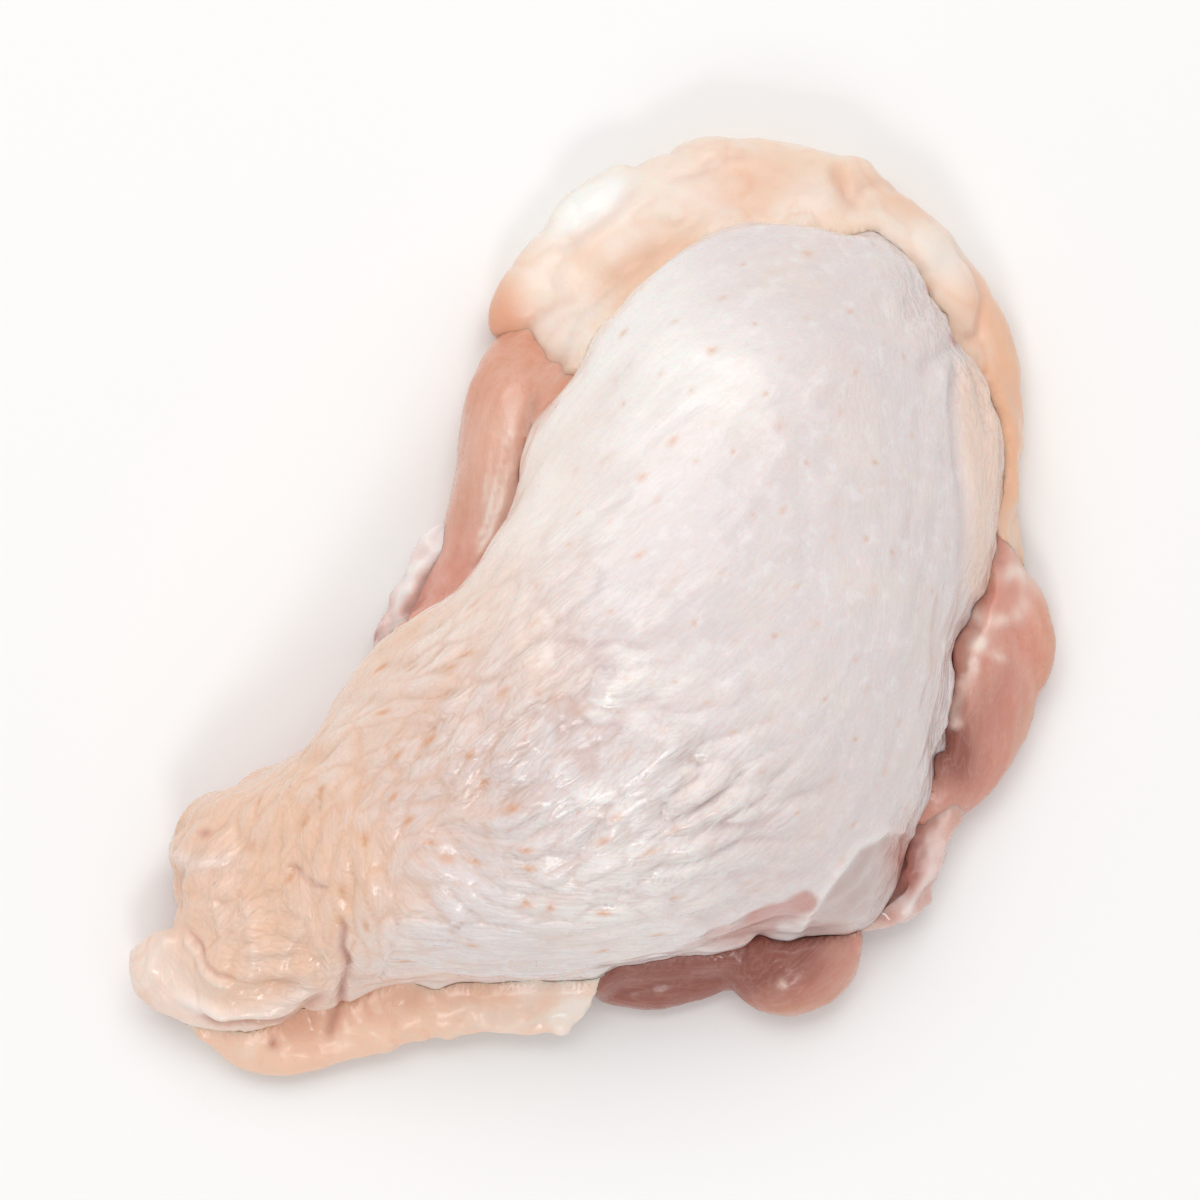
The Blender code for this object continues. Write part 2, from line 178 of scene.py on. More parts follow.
def giveWrinkles(mesh, along, strength):
    # shares the fine wrinkles out over four fixed directions, as seen from above
    angle = np.arctan2(along[:, 1], along[:, 0])
    shares = np.stack([np.cos(angle - math.radians(way)) ** 8 for way in wrinkleWays])
    for way, share in zip(wrinkleWays, shares / shares.sum(axis=0)):
        giveAttribute(mesh, f"wrinkles {way}", share * strength)


def smoothStep(low, high, x):
    t = np.clip((x - low) / (high - low), 0, 1)
    return t * t * (3 - 2 * t)


def softNoise(points, size, seed):
    # smooth bumps about size mm across (one size, or one for each axis), from about -1 to 1
    dice = np.random.default_rng(seed).uniform(-1, 1, (64, 64, 64))
    moved = points / np.array(size, float) + 640
    cell = np.floor(moved).astype(int)
    part = moved - cell
    part = part * part * (3 - 2 * part)
    total = np.zeros(len(points))
    for corner in itertools.product((0, 1), repeat=3):
        weight = np.prod(np.where(corner, part, 1 - part), axis=1)
        a, b, c = ((cell + corner) % 64).T
        total += weight * dice[a, b, c]
    return total


def cloud(points, size, seed, layers=3):
    size = np.array(size, float)
    return sum(softNoise(points, size / 2 ** k, seed + k) / 2 ** k for k in range(layers))


def streaks(points, along, size, reach, seed):
    # bumps size mm across, drawn out by reach mm both ways along the given directions
    steps = np.linspace(-reach, reach, 9)
    drawn = sum(softNoise(points + along * step, size, seed) for step in steps)
    return (drawn - drawn.mean()) / drawn.std()


def valley(values, width):
    return np.exp(-(values / width) ** 2)


def headings(points, normals, signs):
    # directions on the surface, blended by nearness from (x, y, degrees seen from above)
    total = np.zeros((len(points), 2))
    for x, y, degrees in signs:
        away = (points[:, 0] - x) ** 2 + (points[:, 1] - y) ** 2
        doubled = math.radians(2 * degrees)
        total += np.outer(1 / (away + 9) ** 2, (math.cos(doubled), math.sin(doubled)))
    angle = np.arctan2(total[:, 1], total[:, 0]) / 2
    flat = np.stack([np.cos(angle), np.sin(angle), np.zeros(len(points))], axis=-1)
    laid = flat - normals * (flat * normals).sum(axis=1, keepdims=True)
    return laid / np.linalg.norm(laid, axis=1, keepdims=True)


def blob(points, x, y, radius, stretch=1.0, turn=0.0):
    # a soft round patch seen from above: 1 at its middle, and stretch times longer along its turn
    c, s = math.cos(math.radians(turn)), math.sin(math.radians(turn))
    dx, dy = points[:, 0] - x, points[:, 1] - y
    along, across = (dx * c + dy * s) / stretch, -dx * s + dy * c
    return np.exp(-(along ** 2 + across ** 2) / radius ** 2)


def blobs(points, rows):
    # patches as (x, y, radius, stretch, turn, strength), added up
    return sum(row[5] * blob(points, *row[:5]) for row in rows)


def alongPath(points, path):
    # distance seen from above to a path, signed by its side (left is positive), and how far along it, 0 to 1
    path = np.array(path, float)
    steps = np.diff(path, axis=0)
    lengths = np.hypot(steps[:, 0], steps[:, 1])
    starts = np.concatenate([[0], np.cumsum(lengths)])
    best, side, place = np.full(len(points), 1e9), np.zeros(len(points)), np.zeros(len(points))
    for a, step, length, start in zip(path, steps, lengths, starts):
        dx, dy = points[:, 0] - a[0], points[:, 1] - a[1]
        t = np.clip((dx * step[0] + dy * step[1]) / length ** 2, 0, 1)
        ex, ey = dx - t * step[0], dy - t * step[1]
        far = np.hypot(ex, ey)
        closer = far < best
        best = np.where(closer, far, best)
        side = np.where(closer, np.sign(step[0] * dy - step[1] * dx), side)
        place = np.where(closer, (start + t * length) / starts[-1], place)
    return best * side, place


def line(points, path, width, fade=0.2):
    # 1 on a path seen from above, falling off over width mm, and faded at its ends
    away, place = alongPath(points, path)
    ends = smoothStep(0, fade, place) * smoothStep(0, fade, 1 - place)
    return np.exp(-(away / width) ** 2) * ends


def lines(points, rows):
    # paths as (strength, width, path), added up
    return sum(strength * line(points, path, width) for strength, width, path in rows)


def newObject(name, bm):
    mesh = bpy.data.meshes.new(name)
    bm.to_mesh(mesh)
    bm.free()
    made = bpy.data.objects.new(name, mesh)
    bpy.context.scene.collection.objects.link(made)
    return made


def applyModifiers(made):
    bpy.context.view_layer.update()
    graph = bpy.context.evaluated_depsgraph_get()
    mesh = bpy.data.meshes.new_from_object(made.evaluated_get(graph), depsgraph=graph)
    made.modifiers.clear()
    old = made.data
    made.data = mesh
    bpy.data.meshes.remove(old)
    mesh.name = made.name
    return made


def finishPiece(made, node, material):
    # millimetres about the photograph's middle to metres in the frame
    setPoints(made.data, (getPoints(made.data) + shift) * mm)
    made.data.shade_smooth()
    made.data.materials.clear()
    made.data.materials.append(material)
    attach(made, "root")
    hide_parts(node)
    triangles = sum(len(face.vertices) - 2 for face in made.data.polygons)
    print(made.name, triangles, "triangles")


# Materials

def linearColour(code):
    parts = [int(code[k:k + 2], 16) / 255 for k in (1, 3, 5)]
    return (*[c / 12.92 if c <= 0.04045 else ((c + 0.055) / 1.055) ** 2.4 for c in parts], 1)


def newMaterial(name):
    made = bpy.data.materials.new(name)
    made.use_nodes = True
    tree = made.node_tree
    return made, tree, tree.nodes["Principled BSDF"]


def addNode(tree, kind, settings=None, inputs=None):
    # settings are the node's own, inputs are numbers, colours or sockets by name or place
    node = tree.nodes.new(kind)
    for key, value in (settings or {}).items():
        setattr(node, key, value)
    for key, value in (inputs or {}).items():
        if isinstance(value, bpy.types.NodeSocket):
            tree.links.new(value, node.inputs[key])
        else:
            node.inputs[key].default_value = value
    return node


def softTissue(name, look):
    # wet raw tissue: light goes in and bleeds red, and a film of water gives sharp small highlights
    made, tree, shader = newMaterial(name)
    place = addNode(tree, "ShaderNodeTexCoord").outputs["Object"]

    def grain(size, detail=3.0):
        inputs = {"Vector": place, "Scale": 1 / (size * mm), "Detail": detail, "Roughness": 0.55}
        return addNode(tree, "ShaderNodeTexNoise", None, inputs).outputs["Fac"]

    def mix(factor, a, b):
        return addNode(tree, "ShaderNodeMix", {"data_type": "RGBA"}, {0: factor, 6: a, 7: b}).outputs[2]

    colour = linearColour(look["base"])
    for size, low, high, code, strength in look["blotches"]:
        patch = addNode(tree, "ShaderNodeMapRange", {"interpolation_type": "SMOOTHSTEP"}, {
            "Value": grain(size), "From Min": low, "From Max": high, "To Max": strength}).outputs[0]
        colour = mix(patch, colour, linearColour(code))
    for attribute, code, strength in look["layers"]:
        field = addNode(tree, "ShaderNodeAttribute", {"attribute_name": attribute}).outputs["Fac"]
        factor = addNode(tree, "ShaderNodeMath", {"operation": "MULTIPLY", "use_clamp": True},
                         {0: field, 1: strength}).outputs[0]
        colour = mix(factor, colour, linearColour(code))

    rough = addNode(tree, "ShaderNodeMapRange", None, {
        "Value": grain(look["wetPatch"]), "From Min": 0.38, "From Max": 0.62,
        "To Min": look["roughness"][0], "To Max": look["roughness"][1]}).outputs[0]
    tree.links.new(rough, shader.inputs["Roughness"])

    def times(a, b):
        return addNode(tree, "ShaderNodeMath", {"operation": "MULTIPLY"}, {0: a, 1: b}).outputs[0]

    steps = [times(grain(size, 2.0), depth * mm) for size, depth in look["bumps"]]
    for degrees in wrinkleWays if "wrinkles" in look else ():
        # fine wrinkles along one direction, as deep as the mesh says there; their bottoms take the wrinkle colour as
        # strongly as the mesh says, which on the skin is painted shade and on the muscle pale fibre
        width, length, depth, code, strength = look["wrinkles"]
        drawn = addNode(tree, "ShaderNodeMapping", {"vector_type": "TEXTURE"}, {
            "Vector": place, "Rotation": (0, 0, math.radians(degrees)), "Scale": (length * mm, width * mm, width * mm)})
        field = addNode(tree, "ShaderNodeAttribute", {"attribute_name": f"wrinkles {degrees}"}).outputs["Fac"]
        ripple = addNode(tree, "ShaderNodeTexNoise", None, {
            "Vector": drawn.outputs[0], "Scale": 1.0, "Detail": 1.0, "Roughness": 0.5}).outputs["Fac"]
        centred = addNode(tree, "ShaderNodeMath", {"operation": "SUBTRACT"}, {0: ripple, 1: 0.5}).outputs[0]
        fold = addNode(tree, "ShaderNodeMath", {"operation": "ABSOLUTE"}, {0: centred}).outputs[0]
        steps.append(times(times(fold, field), depth * mm))
        crease = addNode(tree, "ShaderNodeMapRange", {"interpolation_type": "SMOOTHSTEP"}, {
            "Value": fold, "From Max": 0.07, "To Min": strength, "To Max": 0.0}).outputs[0]
        colour = mix(times(crease, field), colour, linearColour(code))
    tree.links.new(colour, shader.inputs["Base Color"])
    height = steps[0]
    for step in steps[1:]:
        height = addNode(tree, "ShaderNodeMath", {"operation": "ADD"}, {0: height, 1: step}).outputs[0]
    bump = addNode(tree, "ShaderNodeBump", None, {"Height": height, "Strength": 1.0, "Distance": 1.0})
    tree.links.new(bump.outputs[0], shader.inputs["Normal"])

    shader.subsurface_method = "RANDOM_WALK"
    shader.inputs["Subsurface Weight"].default_value = look["scatter"]
    shader.inputs["Subsurface Radius"].default_value = look["bleed"]
    shader.inputs["Subsurface Scale"].default_value = look["depth"] * mm
    shader.inputs["IOR"].default_value = 1.40
    shader.inputs["Coat Weight"].default_value = look["film"]
    shader.inputs["Coat Roughness"].default_value = look["filmRoughness"]
    shader.inputs["Coat IOR"].default_value = 1.33
    return made


# raw poultry skin: pale, faintly violet where it is thin over muscle, peach where it is thick or folded
skinLook = {
    "base": "#E4DAD8",
    "blotches": ((8.0, 0.48, 0.70, "#E9DDD5", 0.6), (2.2, 0.50, 0.72, "#F0EBEA", 0.5), (0.9, 0.52, 0.74, "#EBD2C4", 0.25)),
    # the pale layer carries painted highlights and sheen, the grey valley layer and the orange layer painted shade, and
    # the fold layer partly painted shade
    "layers": (("ivoryAndPaintedLight", "#F9F4EF", 0.95), ("peach", "#EFCBB2", 1.0), ("valley", "#CDB5B2", 0.75),
               ("orangeShadeAndDashes", "#DD9E6C", 0.85), ("pore", "#E0B294", 0.7), ("veil", "#BFA39B", 0.8),
               ("flesh", "#C88C80", 0.85), ("fold", "#C17F70", 0.9)),
    "wetPatch": 4.0, "roughness": (0.24, 0.42), "bumps": ((0.8, 0.05), (0.35, 0.03)),
    # the wrinkle colour darkens the bottom of each fine wrinkle: painted shade
    "wrinkles": (0.95, 3.6, 0.95, "#CDAB9E", 0.45),
    "scatter": 0.4, "bleed": (1.0, 0.5, 0.36), "depth": 0.5, "film": 0.7, "filmRoughness": 0.10,
}
# soft fat under its thin cover: creamy peach, waxy and wet
fatLook = {
    "base": "#F3D9C4",
    "blotches": ((7.0, 0.46, 0.68, "#F6E6DA", 0.7), (2.2, 0.54, 0.75, "#EEC4A8", 0.3)),
    # the deeper peach layer is mostly painted shade, the crease layer painted shade, and the pale layer holds painted
    # highlights as well as pale fat
    "layers": (("shadeAndDeepTone", "#EFBC99", 0.9), ("pale", "#FBF6F1", 0.95), ("flesh", "#DFA284", 0.9), ("crease", "#D28E6E", 0.8)),
    "wetPatch": 5.0, "roughness": (0.28, 0.46), "bumps": ((1.4, 0.08), (0.5, 0.03)),
    "scatter": 0.6, "bleed": (1.0, 0.55, 0.36), "depth": 1.1, "film": 0.4, "filmRoughness": 0.14,
}
# raw dark poultry muscle: pinkish red, clear and wet, with fine pale fibres
meatLook = {
    "base": "#DB9987",
    "blotches": ((6.0, 0.48, 0.70, "#E2AB98", 0.6), (2.0, 0.55, 0.75, "#CB8473", 0.3)),
    # the dark red layer is painted shade
    "layers": (("amber", "#DA9E80", 0.9), ("fibre", "#EBCDBE", 0.8), ("shadeAndDeepTone", "#8C4E42", 0.85), ("pale", "#F3E0D4", 0.95)),
    "wetPatch": 4.0, "roughness": (0.24, 0.42), "bumps": ((1.0, 0.05), (0.4, 0.02)),
    "wrinkles": (0.9, 7.0, 0.4, "#EBCDBE", 0.5),
    "scatter": 0.6, "bleed": (1.0, 0.40, 0.30), "depth": 1.1, "film": 0.45, "filmRoughness": 0.14,
}
# the inner side of the skin where it folds out under the edge: peach, thicker and duller
flapLook = {
    "base": "#F2CDB4",
    "blotches": ((5.0, 0.50, 0.70, "#F3DAC8", 0.6), (2.0, 0.55, 0.75, "#E4B096", 0.35)),
    # the deeper peach layer and the crease layer are painted shade
    "layers": (("shadeAndDeepTone", "#E2A98A", 0.7), ("pale", "#F7EADF", 0.9), ("crease", "#BE7866", 0.85)),
    "wetPatch": 4.0, "roughness": (0.28, 0.45), "bumps": ((1.1, 0.09), (0.4, 0.03)),
    "scatter": 0.6, "bleed": (1.0, 0.50, 0.36), "depth": 0.9, "film": 0.4, "filmRoughness": 0.14,
}
# the thin clear cover of the muscle, bunched up: greyish white and very wet
membraneLook = {
    "base": "#DAB2A5",
    "blotches": ((2.5, 0.45, 0.70, "#E6CEC6", 0.5),),
    # the pale layer holds painted highlights as well as pale membrane, and the dark layer is painted shade
    "layers": (("pale", "#F6EFEC", 0.9), ("shadeAndDeepTone", "#A9695D", 0.85)),
    "wetPatch": 2.0, "roughness": (0.18, 0.36), "bumps": ((0.9, 0.06),),
    "scatter": 0.7, "bleed": (1.0, 0.6, 0.5), "depth": 2.0, "film": 0.6, "filmRoughness": 0.10,
}
skinMaterial = softTissue("raw poultry skin", skinLook)
fatMaterial = softTissue("raw poultry fat", fatLook)
meatMaterial = softTissue("raw poultry muscle", meatLook)
flapMaterial = softTissue("folded inner skin", flapLook)
membraneMaterial = softTissue("clear membrane", membraneLook)
print("materials done")

# The skin's wrinkles, follicles and folds, as seen from above
skinMarks = {
    # which way the fine wrinkles run: (x, y, degrees from the thigh's length)
    "grain": ((-63, -3, 60), (-55, 4, 10), (-54, -6, -25), (-46, 5, 4), (-44, -11, 48), (-39, -5, 42), (-40, -19, -42),
              (-32, 6, -40), (-24, 4, -38), (-30, -3, -4), (-22, -6, 4), (-32, -15, -70), (-28, -26, -48),
              (-19, -29, -40), (-20, -20, -6), (-14, -25, -12), (-8, -3, 0), (-5, -13, -25), (-8, -19, -4),
              (2, -32, -24), (12, -37, 32), (20, -30, 38), (26, -23, 36), (33, -20, 42), (39, -13, 48), (44, -8, 42),
              (46, 3, 18), (40, 9, -20), (30, 15, -20), (15, 15, 3), (0, 5, -4), (12, -10, 0), (24, -5, 10)),
    "creases": (
        (0.28, 0.6, ((43.4, -10.4), (39.2, -14.6), (35.4, -18.6), (31.0, -21.8), (26.6, -24.6), (21.0, -27.6))),
        (0.22, 0.6, ((44.6, -5.6), (40.0, -9.8), (35.6, -14.6), (30.0, -18.6), (24.0, -21.4))),
        (0.25, 0.7, ((30.4, -22.4), (27.0, -24.0), (24.6, -26.0))),
        (0.25, 0.6, ((26.0, -27.0), (21.0, -29.6), (16.0, -33.4), (11.0, -36.6), (4.0, -38.4))),
        (0.22, 0.6, ((22.5, -31.4), (18.0, -34.4), (13.0, -37.0), (8.0, -39.2))),
        (0.20, 0.6, ((30.0, -25.8), (26.0, -28.6), (21.4, -32.6), (17.0, -36.4))),
        (0.30, 0.7, ((-3.4, -28.4), (0.0, -31.6), (3.0, -33.0), (6.0, -34.2))),
        (0.25, 0.6, ((-6.4, -12.0), (-4.4, -14.0), (-2.6, -16.4), (-0.6, -17.0))),
        (0.25, 0.6, ((-8.0, -20.0), (-5.0, -21.6), (-3.4, -23.6), (-1.6, -24.6))),
        (0.22, 0.7, ((4.6, 4.8), (7.4, 4.6), (10.0, 3.8))),
        (0.22, 0.7, ((12.4, 14.6), (16.0, 14.8), (20.4, 15.8))),
        (0.30, 0.9, ((51.4, 11.6), (50.2, 6.0), (48.4, 1.6), (46.6, -2.4))),
        (0.45, 0.7, ((49.6, -5.0), (47.4, -5.2), (45.2, -4.9), (43.0, -6.4))),
        (0.60, 1.0, ((-38.4, 7.4), (-33.4, 5.4), (-28.0, 2.6), (-21.6, -2.4))),
        (0.55, 0.9, ((-30.0, 8.8), (-27.0, 7.0), (-24.4, 4.6), (-21.4, 2.0), (-17.0, 0.2))),
        (0.40, 0.9, ((-24.0, 9.6), (-19.6, 6.4), (-15.0, 4.4))),
        (0.35, 0.8, ((-48.8, 3.2), (-44.8, 1.6), (-40.6, 2.2), (-36.4, 1.4))),
        (0.40, 0.8, ((-48.0, -2.0), (-44.0, -1.6), (-38.0, -0.4), (-30.0, -1.4))),
        (0.40, 0.7, ((-43.4, -9.4), (-41.2, -7.4), (-38.0, -4.8))),
        (0.35, 0.7, ((-42.4, -13.0), (-39.8, -10.4), (-37.0, -8.4))),
        (0.35, 0.7, ((-40.0, -19.6), (-37.4, -22.0), (-34.0, -24.4), (-30.4, -28.0))),
        (0.35, 0.7, ((-30.0, -24.0), (-27.4, -27.2), (-24.4, -30.2), (-20.8, -32.8))),
        (0.35, 0.7, ((-23.0, -25.4), (-20.0, -28.0), (-16.8, -29.8))),
        (0.40, 0.8, ((-17.0, -34.6), (-11.0, -36.8), (-5.4, -38.2), (0.0, -40.0)))),
    # deep red folds where the tail is drawn in, their dark red partly painted shade
    "folds": (
        (1.0, 0.42, ((-43.8, -8.8), (-44.9, -10.2), (-46.3, -11.4), (-47.0, -13.0), (-49.1, -14.2), (-51.5, -15.7))),
        (0.9, 0.36, ((-64.4, -5.2), (-62.1, -7.6), (-58.8, -10.7), (-56.4, -11.9), (-53.5, -12.6), (-49.6, -13.6))),
        (0.6, 0.34, ((-45.5, -0.4), (-44.6, -2.6), (-44.4, -4.2), (-42.8, -6.2))),
        (0.5, 0.34, ((-58.2, 2.4), (-58.6, -0.9), (-58.9, -2.8), (-58.4, -4.5), (-57.0, -6.4))),
        (0.5, 0.50, ((-52.2, 11.6), (-54.2, 9.4), (-55.2, 5.9), (-55.8, 3.5)))),
    "ridges": (
        (0.9, 0.75, ((-65.2, -1.6), (-62.8, -5.2), (-60.9, -8.0), (-58.2, -10.0), (-55.6, -11.0), (-52.7, -11.6),
                     (-49.4, -12.4))),
        (0.35, 0.5, ((-57.0, -7.6), (-54.4, -5.8), (-52.6, -3.0), (-51.0, 0.6))),
        (0.35, 0.5, ((-54.6, -9.4), (-51.6, -7.6), (-48.4, -7.0), (-46.0, -5.0))),
        (0.30, 0.5, ((-57.6, -3.2), (-55.0, -0.6), (-53.6, 2.4), (-53.2, 4.6))),
        (0.30, 0.5, ((-48.8, -10.6), (-47.2, -8.4), (-47.0, -6.0), (-48.4, -3.6))),
        (0.55, 0.5, ((-59.0, 2.2), (-59.4, -0.9), (-59.8, -2.8), (-59.4, -4.5), (-58.0, -7.0))),
        (0.40, 0.6, ((-59.6, 2.1), (-62.7, 2.0), (-67.0, -0.4))),
        (0.85, 0.85, ((-51.8, 11.4), (-53.3, 8.8), (-52.8, 6.1), (-50.5, 4.4), (-47.6, 4.7))),
        (0.40, 0.9, ((49.8, -6.0), (46.2, -7.3), (42.4, -9.2))),
        (0.30, 0.5, ((-18.0, -34.6), (-13.0, -37.2), (-8.0, -37.6), (-3.6, -39.4), (-1.8, -40.6))),
        (0.35, 0.6, ((-4.0, -42.8), (0.6, -43.4), (5.6, -42.8), (9.4, -42.6))),
        (0.30, 0.5, ((-2.6, -45.2), (2.4, -45.4), (6.8, -44.4))),
        (0.35, 0.6, ((-17.0, -37.2), (-12.6, -39.9), (-9.0, -42.0), (-6.2, -43.0)))),
    # broad rises and hollows as (x, y, radius, stretch, turn, height)
    "swells": ((-51.6, 7.4, 3.2, 1.3, 60, 0.9), (-47.4, 4.0, 2.4, 1.6, -20, -0.6), (-64.4, 2.4, 2.2, 1.3, 20, 0.5),
               (-62.0, -1.8, 2.0, 1.6, 60, -0.6), (-55.0, -3.4, 3.0, 1.3, 20, 0.6), (-50.6, -7.6, 3.0, 1.3, -20, 0.6),
               (-41.0, -11.0, 4.0, 1.5, -40, 0.6), (-30.0, -20.0, 6.0, 1.6, -40, 0.5), (44.0, 8.0, 6.0, 1.2, 20, -0.7),
               (-31.0, 3.6, 3.0, 2.2, -35, 0.6), (-25.4, 0.6, 2.6, 2.2, -35, 0.5), (24.0, 19.0, 4.0, 2.0, 5, 0.4)),
    # the leaf of thick skin along the edge by the head starts at this line
    "leaf": ((49.9, -5.4), (47.6, -7.0), (44.8, -10.0), (42.0, -13.6), (39.4, -17.4), (36.6, -21.2), (33.8, -24.4),
             (30.6, -27.6)),
    # past this line, at the skin's point, only thin membrane goes on
    "veil": ((-14.0, -41.0), (-10.0, -42.4), (-6.4, -43.3), (-1.8, -41.9), (3.6, -40.8), (7.4, -41.6), (11.0, -44.0)),
    # where the skin is drawn into crossing pleats, as patches
    "crossed": ((-12.0, -18.0, 9.0, 1.3, -20, 1.0), (-20.0, -4.0, 7.0, 1.2, 0, 0.7), (-6.0, -28.0, 7.0, 1.4, -25, 0.8),
                (-6.0, -6.0, 7.0, 1.2, 10, 0.8), (-3.0, 5.0, 5.0, 1.3, 0, 0.4)),
    "bareFlesh": ((-18.5, -35.4), (-13.0, -38.4), (-9.0, -39.8), (-6.0, -40.9), (-4.6, -41.4)), "bareWidth": 1.25,
    # pale blobs painted on the skin: sheen where the wet skin would shine, and a paler patch on the tail side
    "pale": ((-20.0, -28.0, 6.0, 1.4, -30, 0.5), (-10.0, -20.0, 5.0, 1.6, -20, 0.2), (-35.0, 5.0, 4.0, 1.6, -30, 0.6)),
    # broad patches of painted shade
    "broadShade": ((-26.0, -6.0, 11.0, 1.0, 0, 0.35), (0.0, -34.0, 7.0, 1.3, -20, 0.2)),
    "pink": ((7.4, -44.2, 1.8, 1.6, 35, 1.0),),
    "red": ((49.9, -4.6, 0.8, 1.0, 0, 0.9), (-49.6, 8.0, 0.6, 1.0, 0, 0.7)),
    # rows of places on the skin as (spacing, shake, seed)
    "fieldRows": (3.5, 0.24, 11), "fieldStretch": 2.9, "fieldHeight": 0.36, "dashSize": (0.9, 0.34), "pleatHeight": 0.58,
    "poreRows": (5.4, 0.17, 7), "poreSize": (0.56, 0.34), "poreDepth": 0.12,
    "edgeRound": 1.4,
}


def nearestIndex(points, centres):
    tree = kdtree.KDTree(len(centres))
    for k, place in enumerate(centres.tolist()):
        tree.insert(place, k)
    tree.balance()
    found = [tree.find(place) for place in points.tolist()]
    return np.array([index for place, index, far in found]), np.array([far for place, index, far in found])


def shakenRows(points, pitch, shake, seed):
    # places on the skin in shaken staggered rows
    dice = np.random.default_rng(seed)
    columns, rows = np.meshgrid(np.arange(-70, 60, pitch), np.arange(-56, 36, 0.84 * pitch))
    rows = rows + 0.42 * pitch * (np.arange(columns.shape[1]) % 2)
    places = np.stack([columns, rows, 0 * rows], axis=-1).reshape(-1, 3)
    places[:, :2] += dice.normal(0, shake * pitch, (len(places), 2))
    index, far = nearestIndex(places, points * (1, 1, 0))
    return points[index[far < 0.5]]


def fieldsAround(points, along, across, centres, squash):
    # long small fields round the centres: which one, the place in it along and across, and how far its border is
    tree = kdtree.KDTree(len(centres))
    for k, place in enumerate(centres.tolist()):
        tree.insert(place, k)
    tree.balance()
    near = np.array([[index for place, index, far in tree.find_n(place, 6)] for place in points.tolist()])
    offset = points[:, None, :] - centres[near]
    a, c = (offset * along[:, None, :]).sum(axis=2), (offset * across[:, None, :]).sum(axis=2)
    far = np.hypot(a, squash * c)
    order = np.argsort(far, axis=1)
    first, second = order[:, :1], order[:, 1:2]

    def pick(values, which):
        return np.take_along_axis(values, which, axis=1)[:, 0]

    return pick(near, first), pick(a, first), pick(c, first), pick(far, second) - pick(far, first)


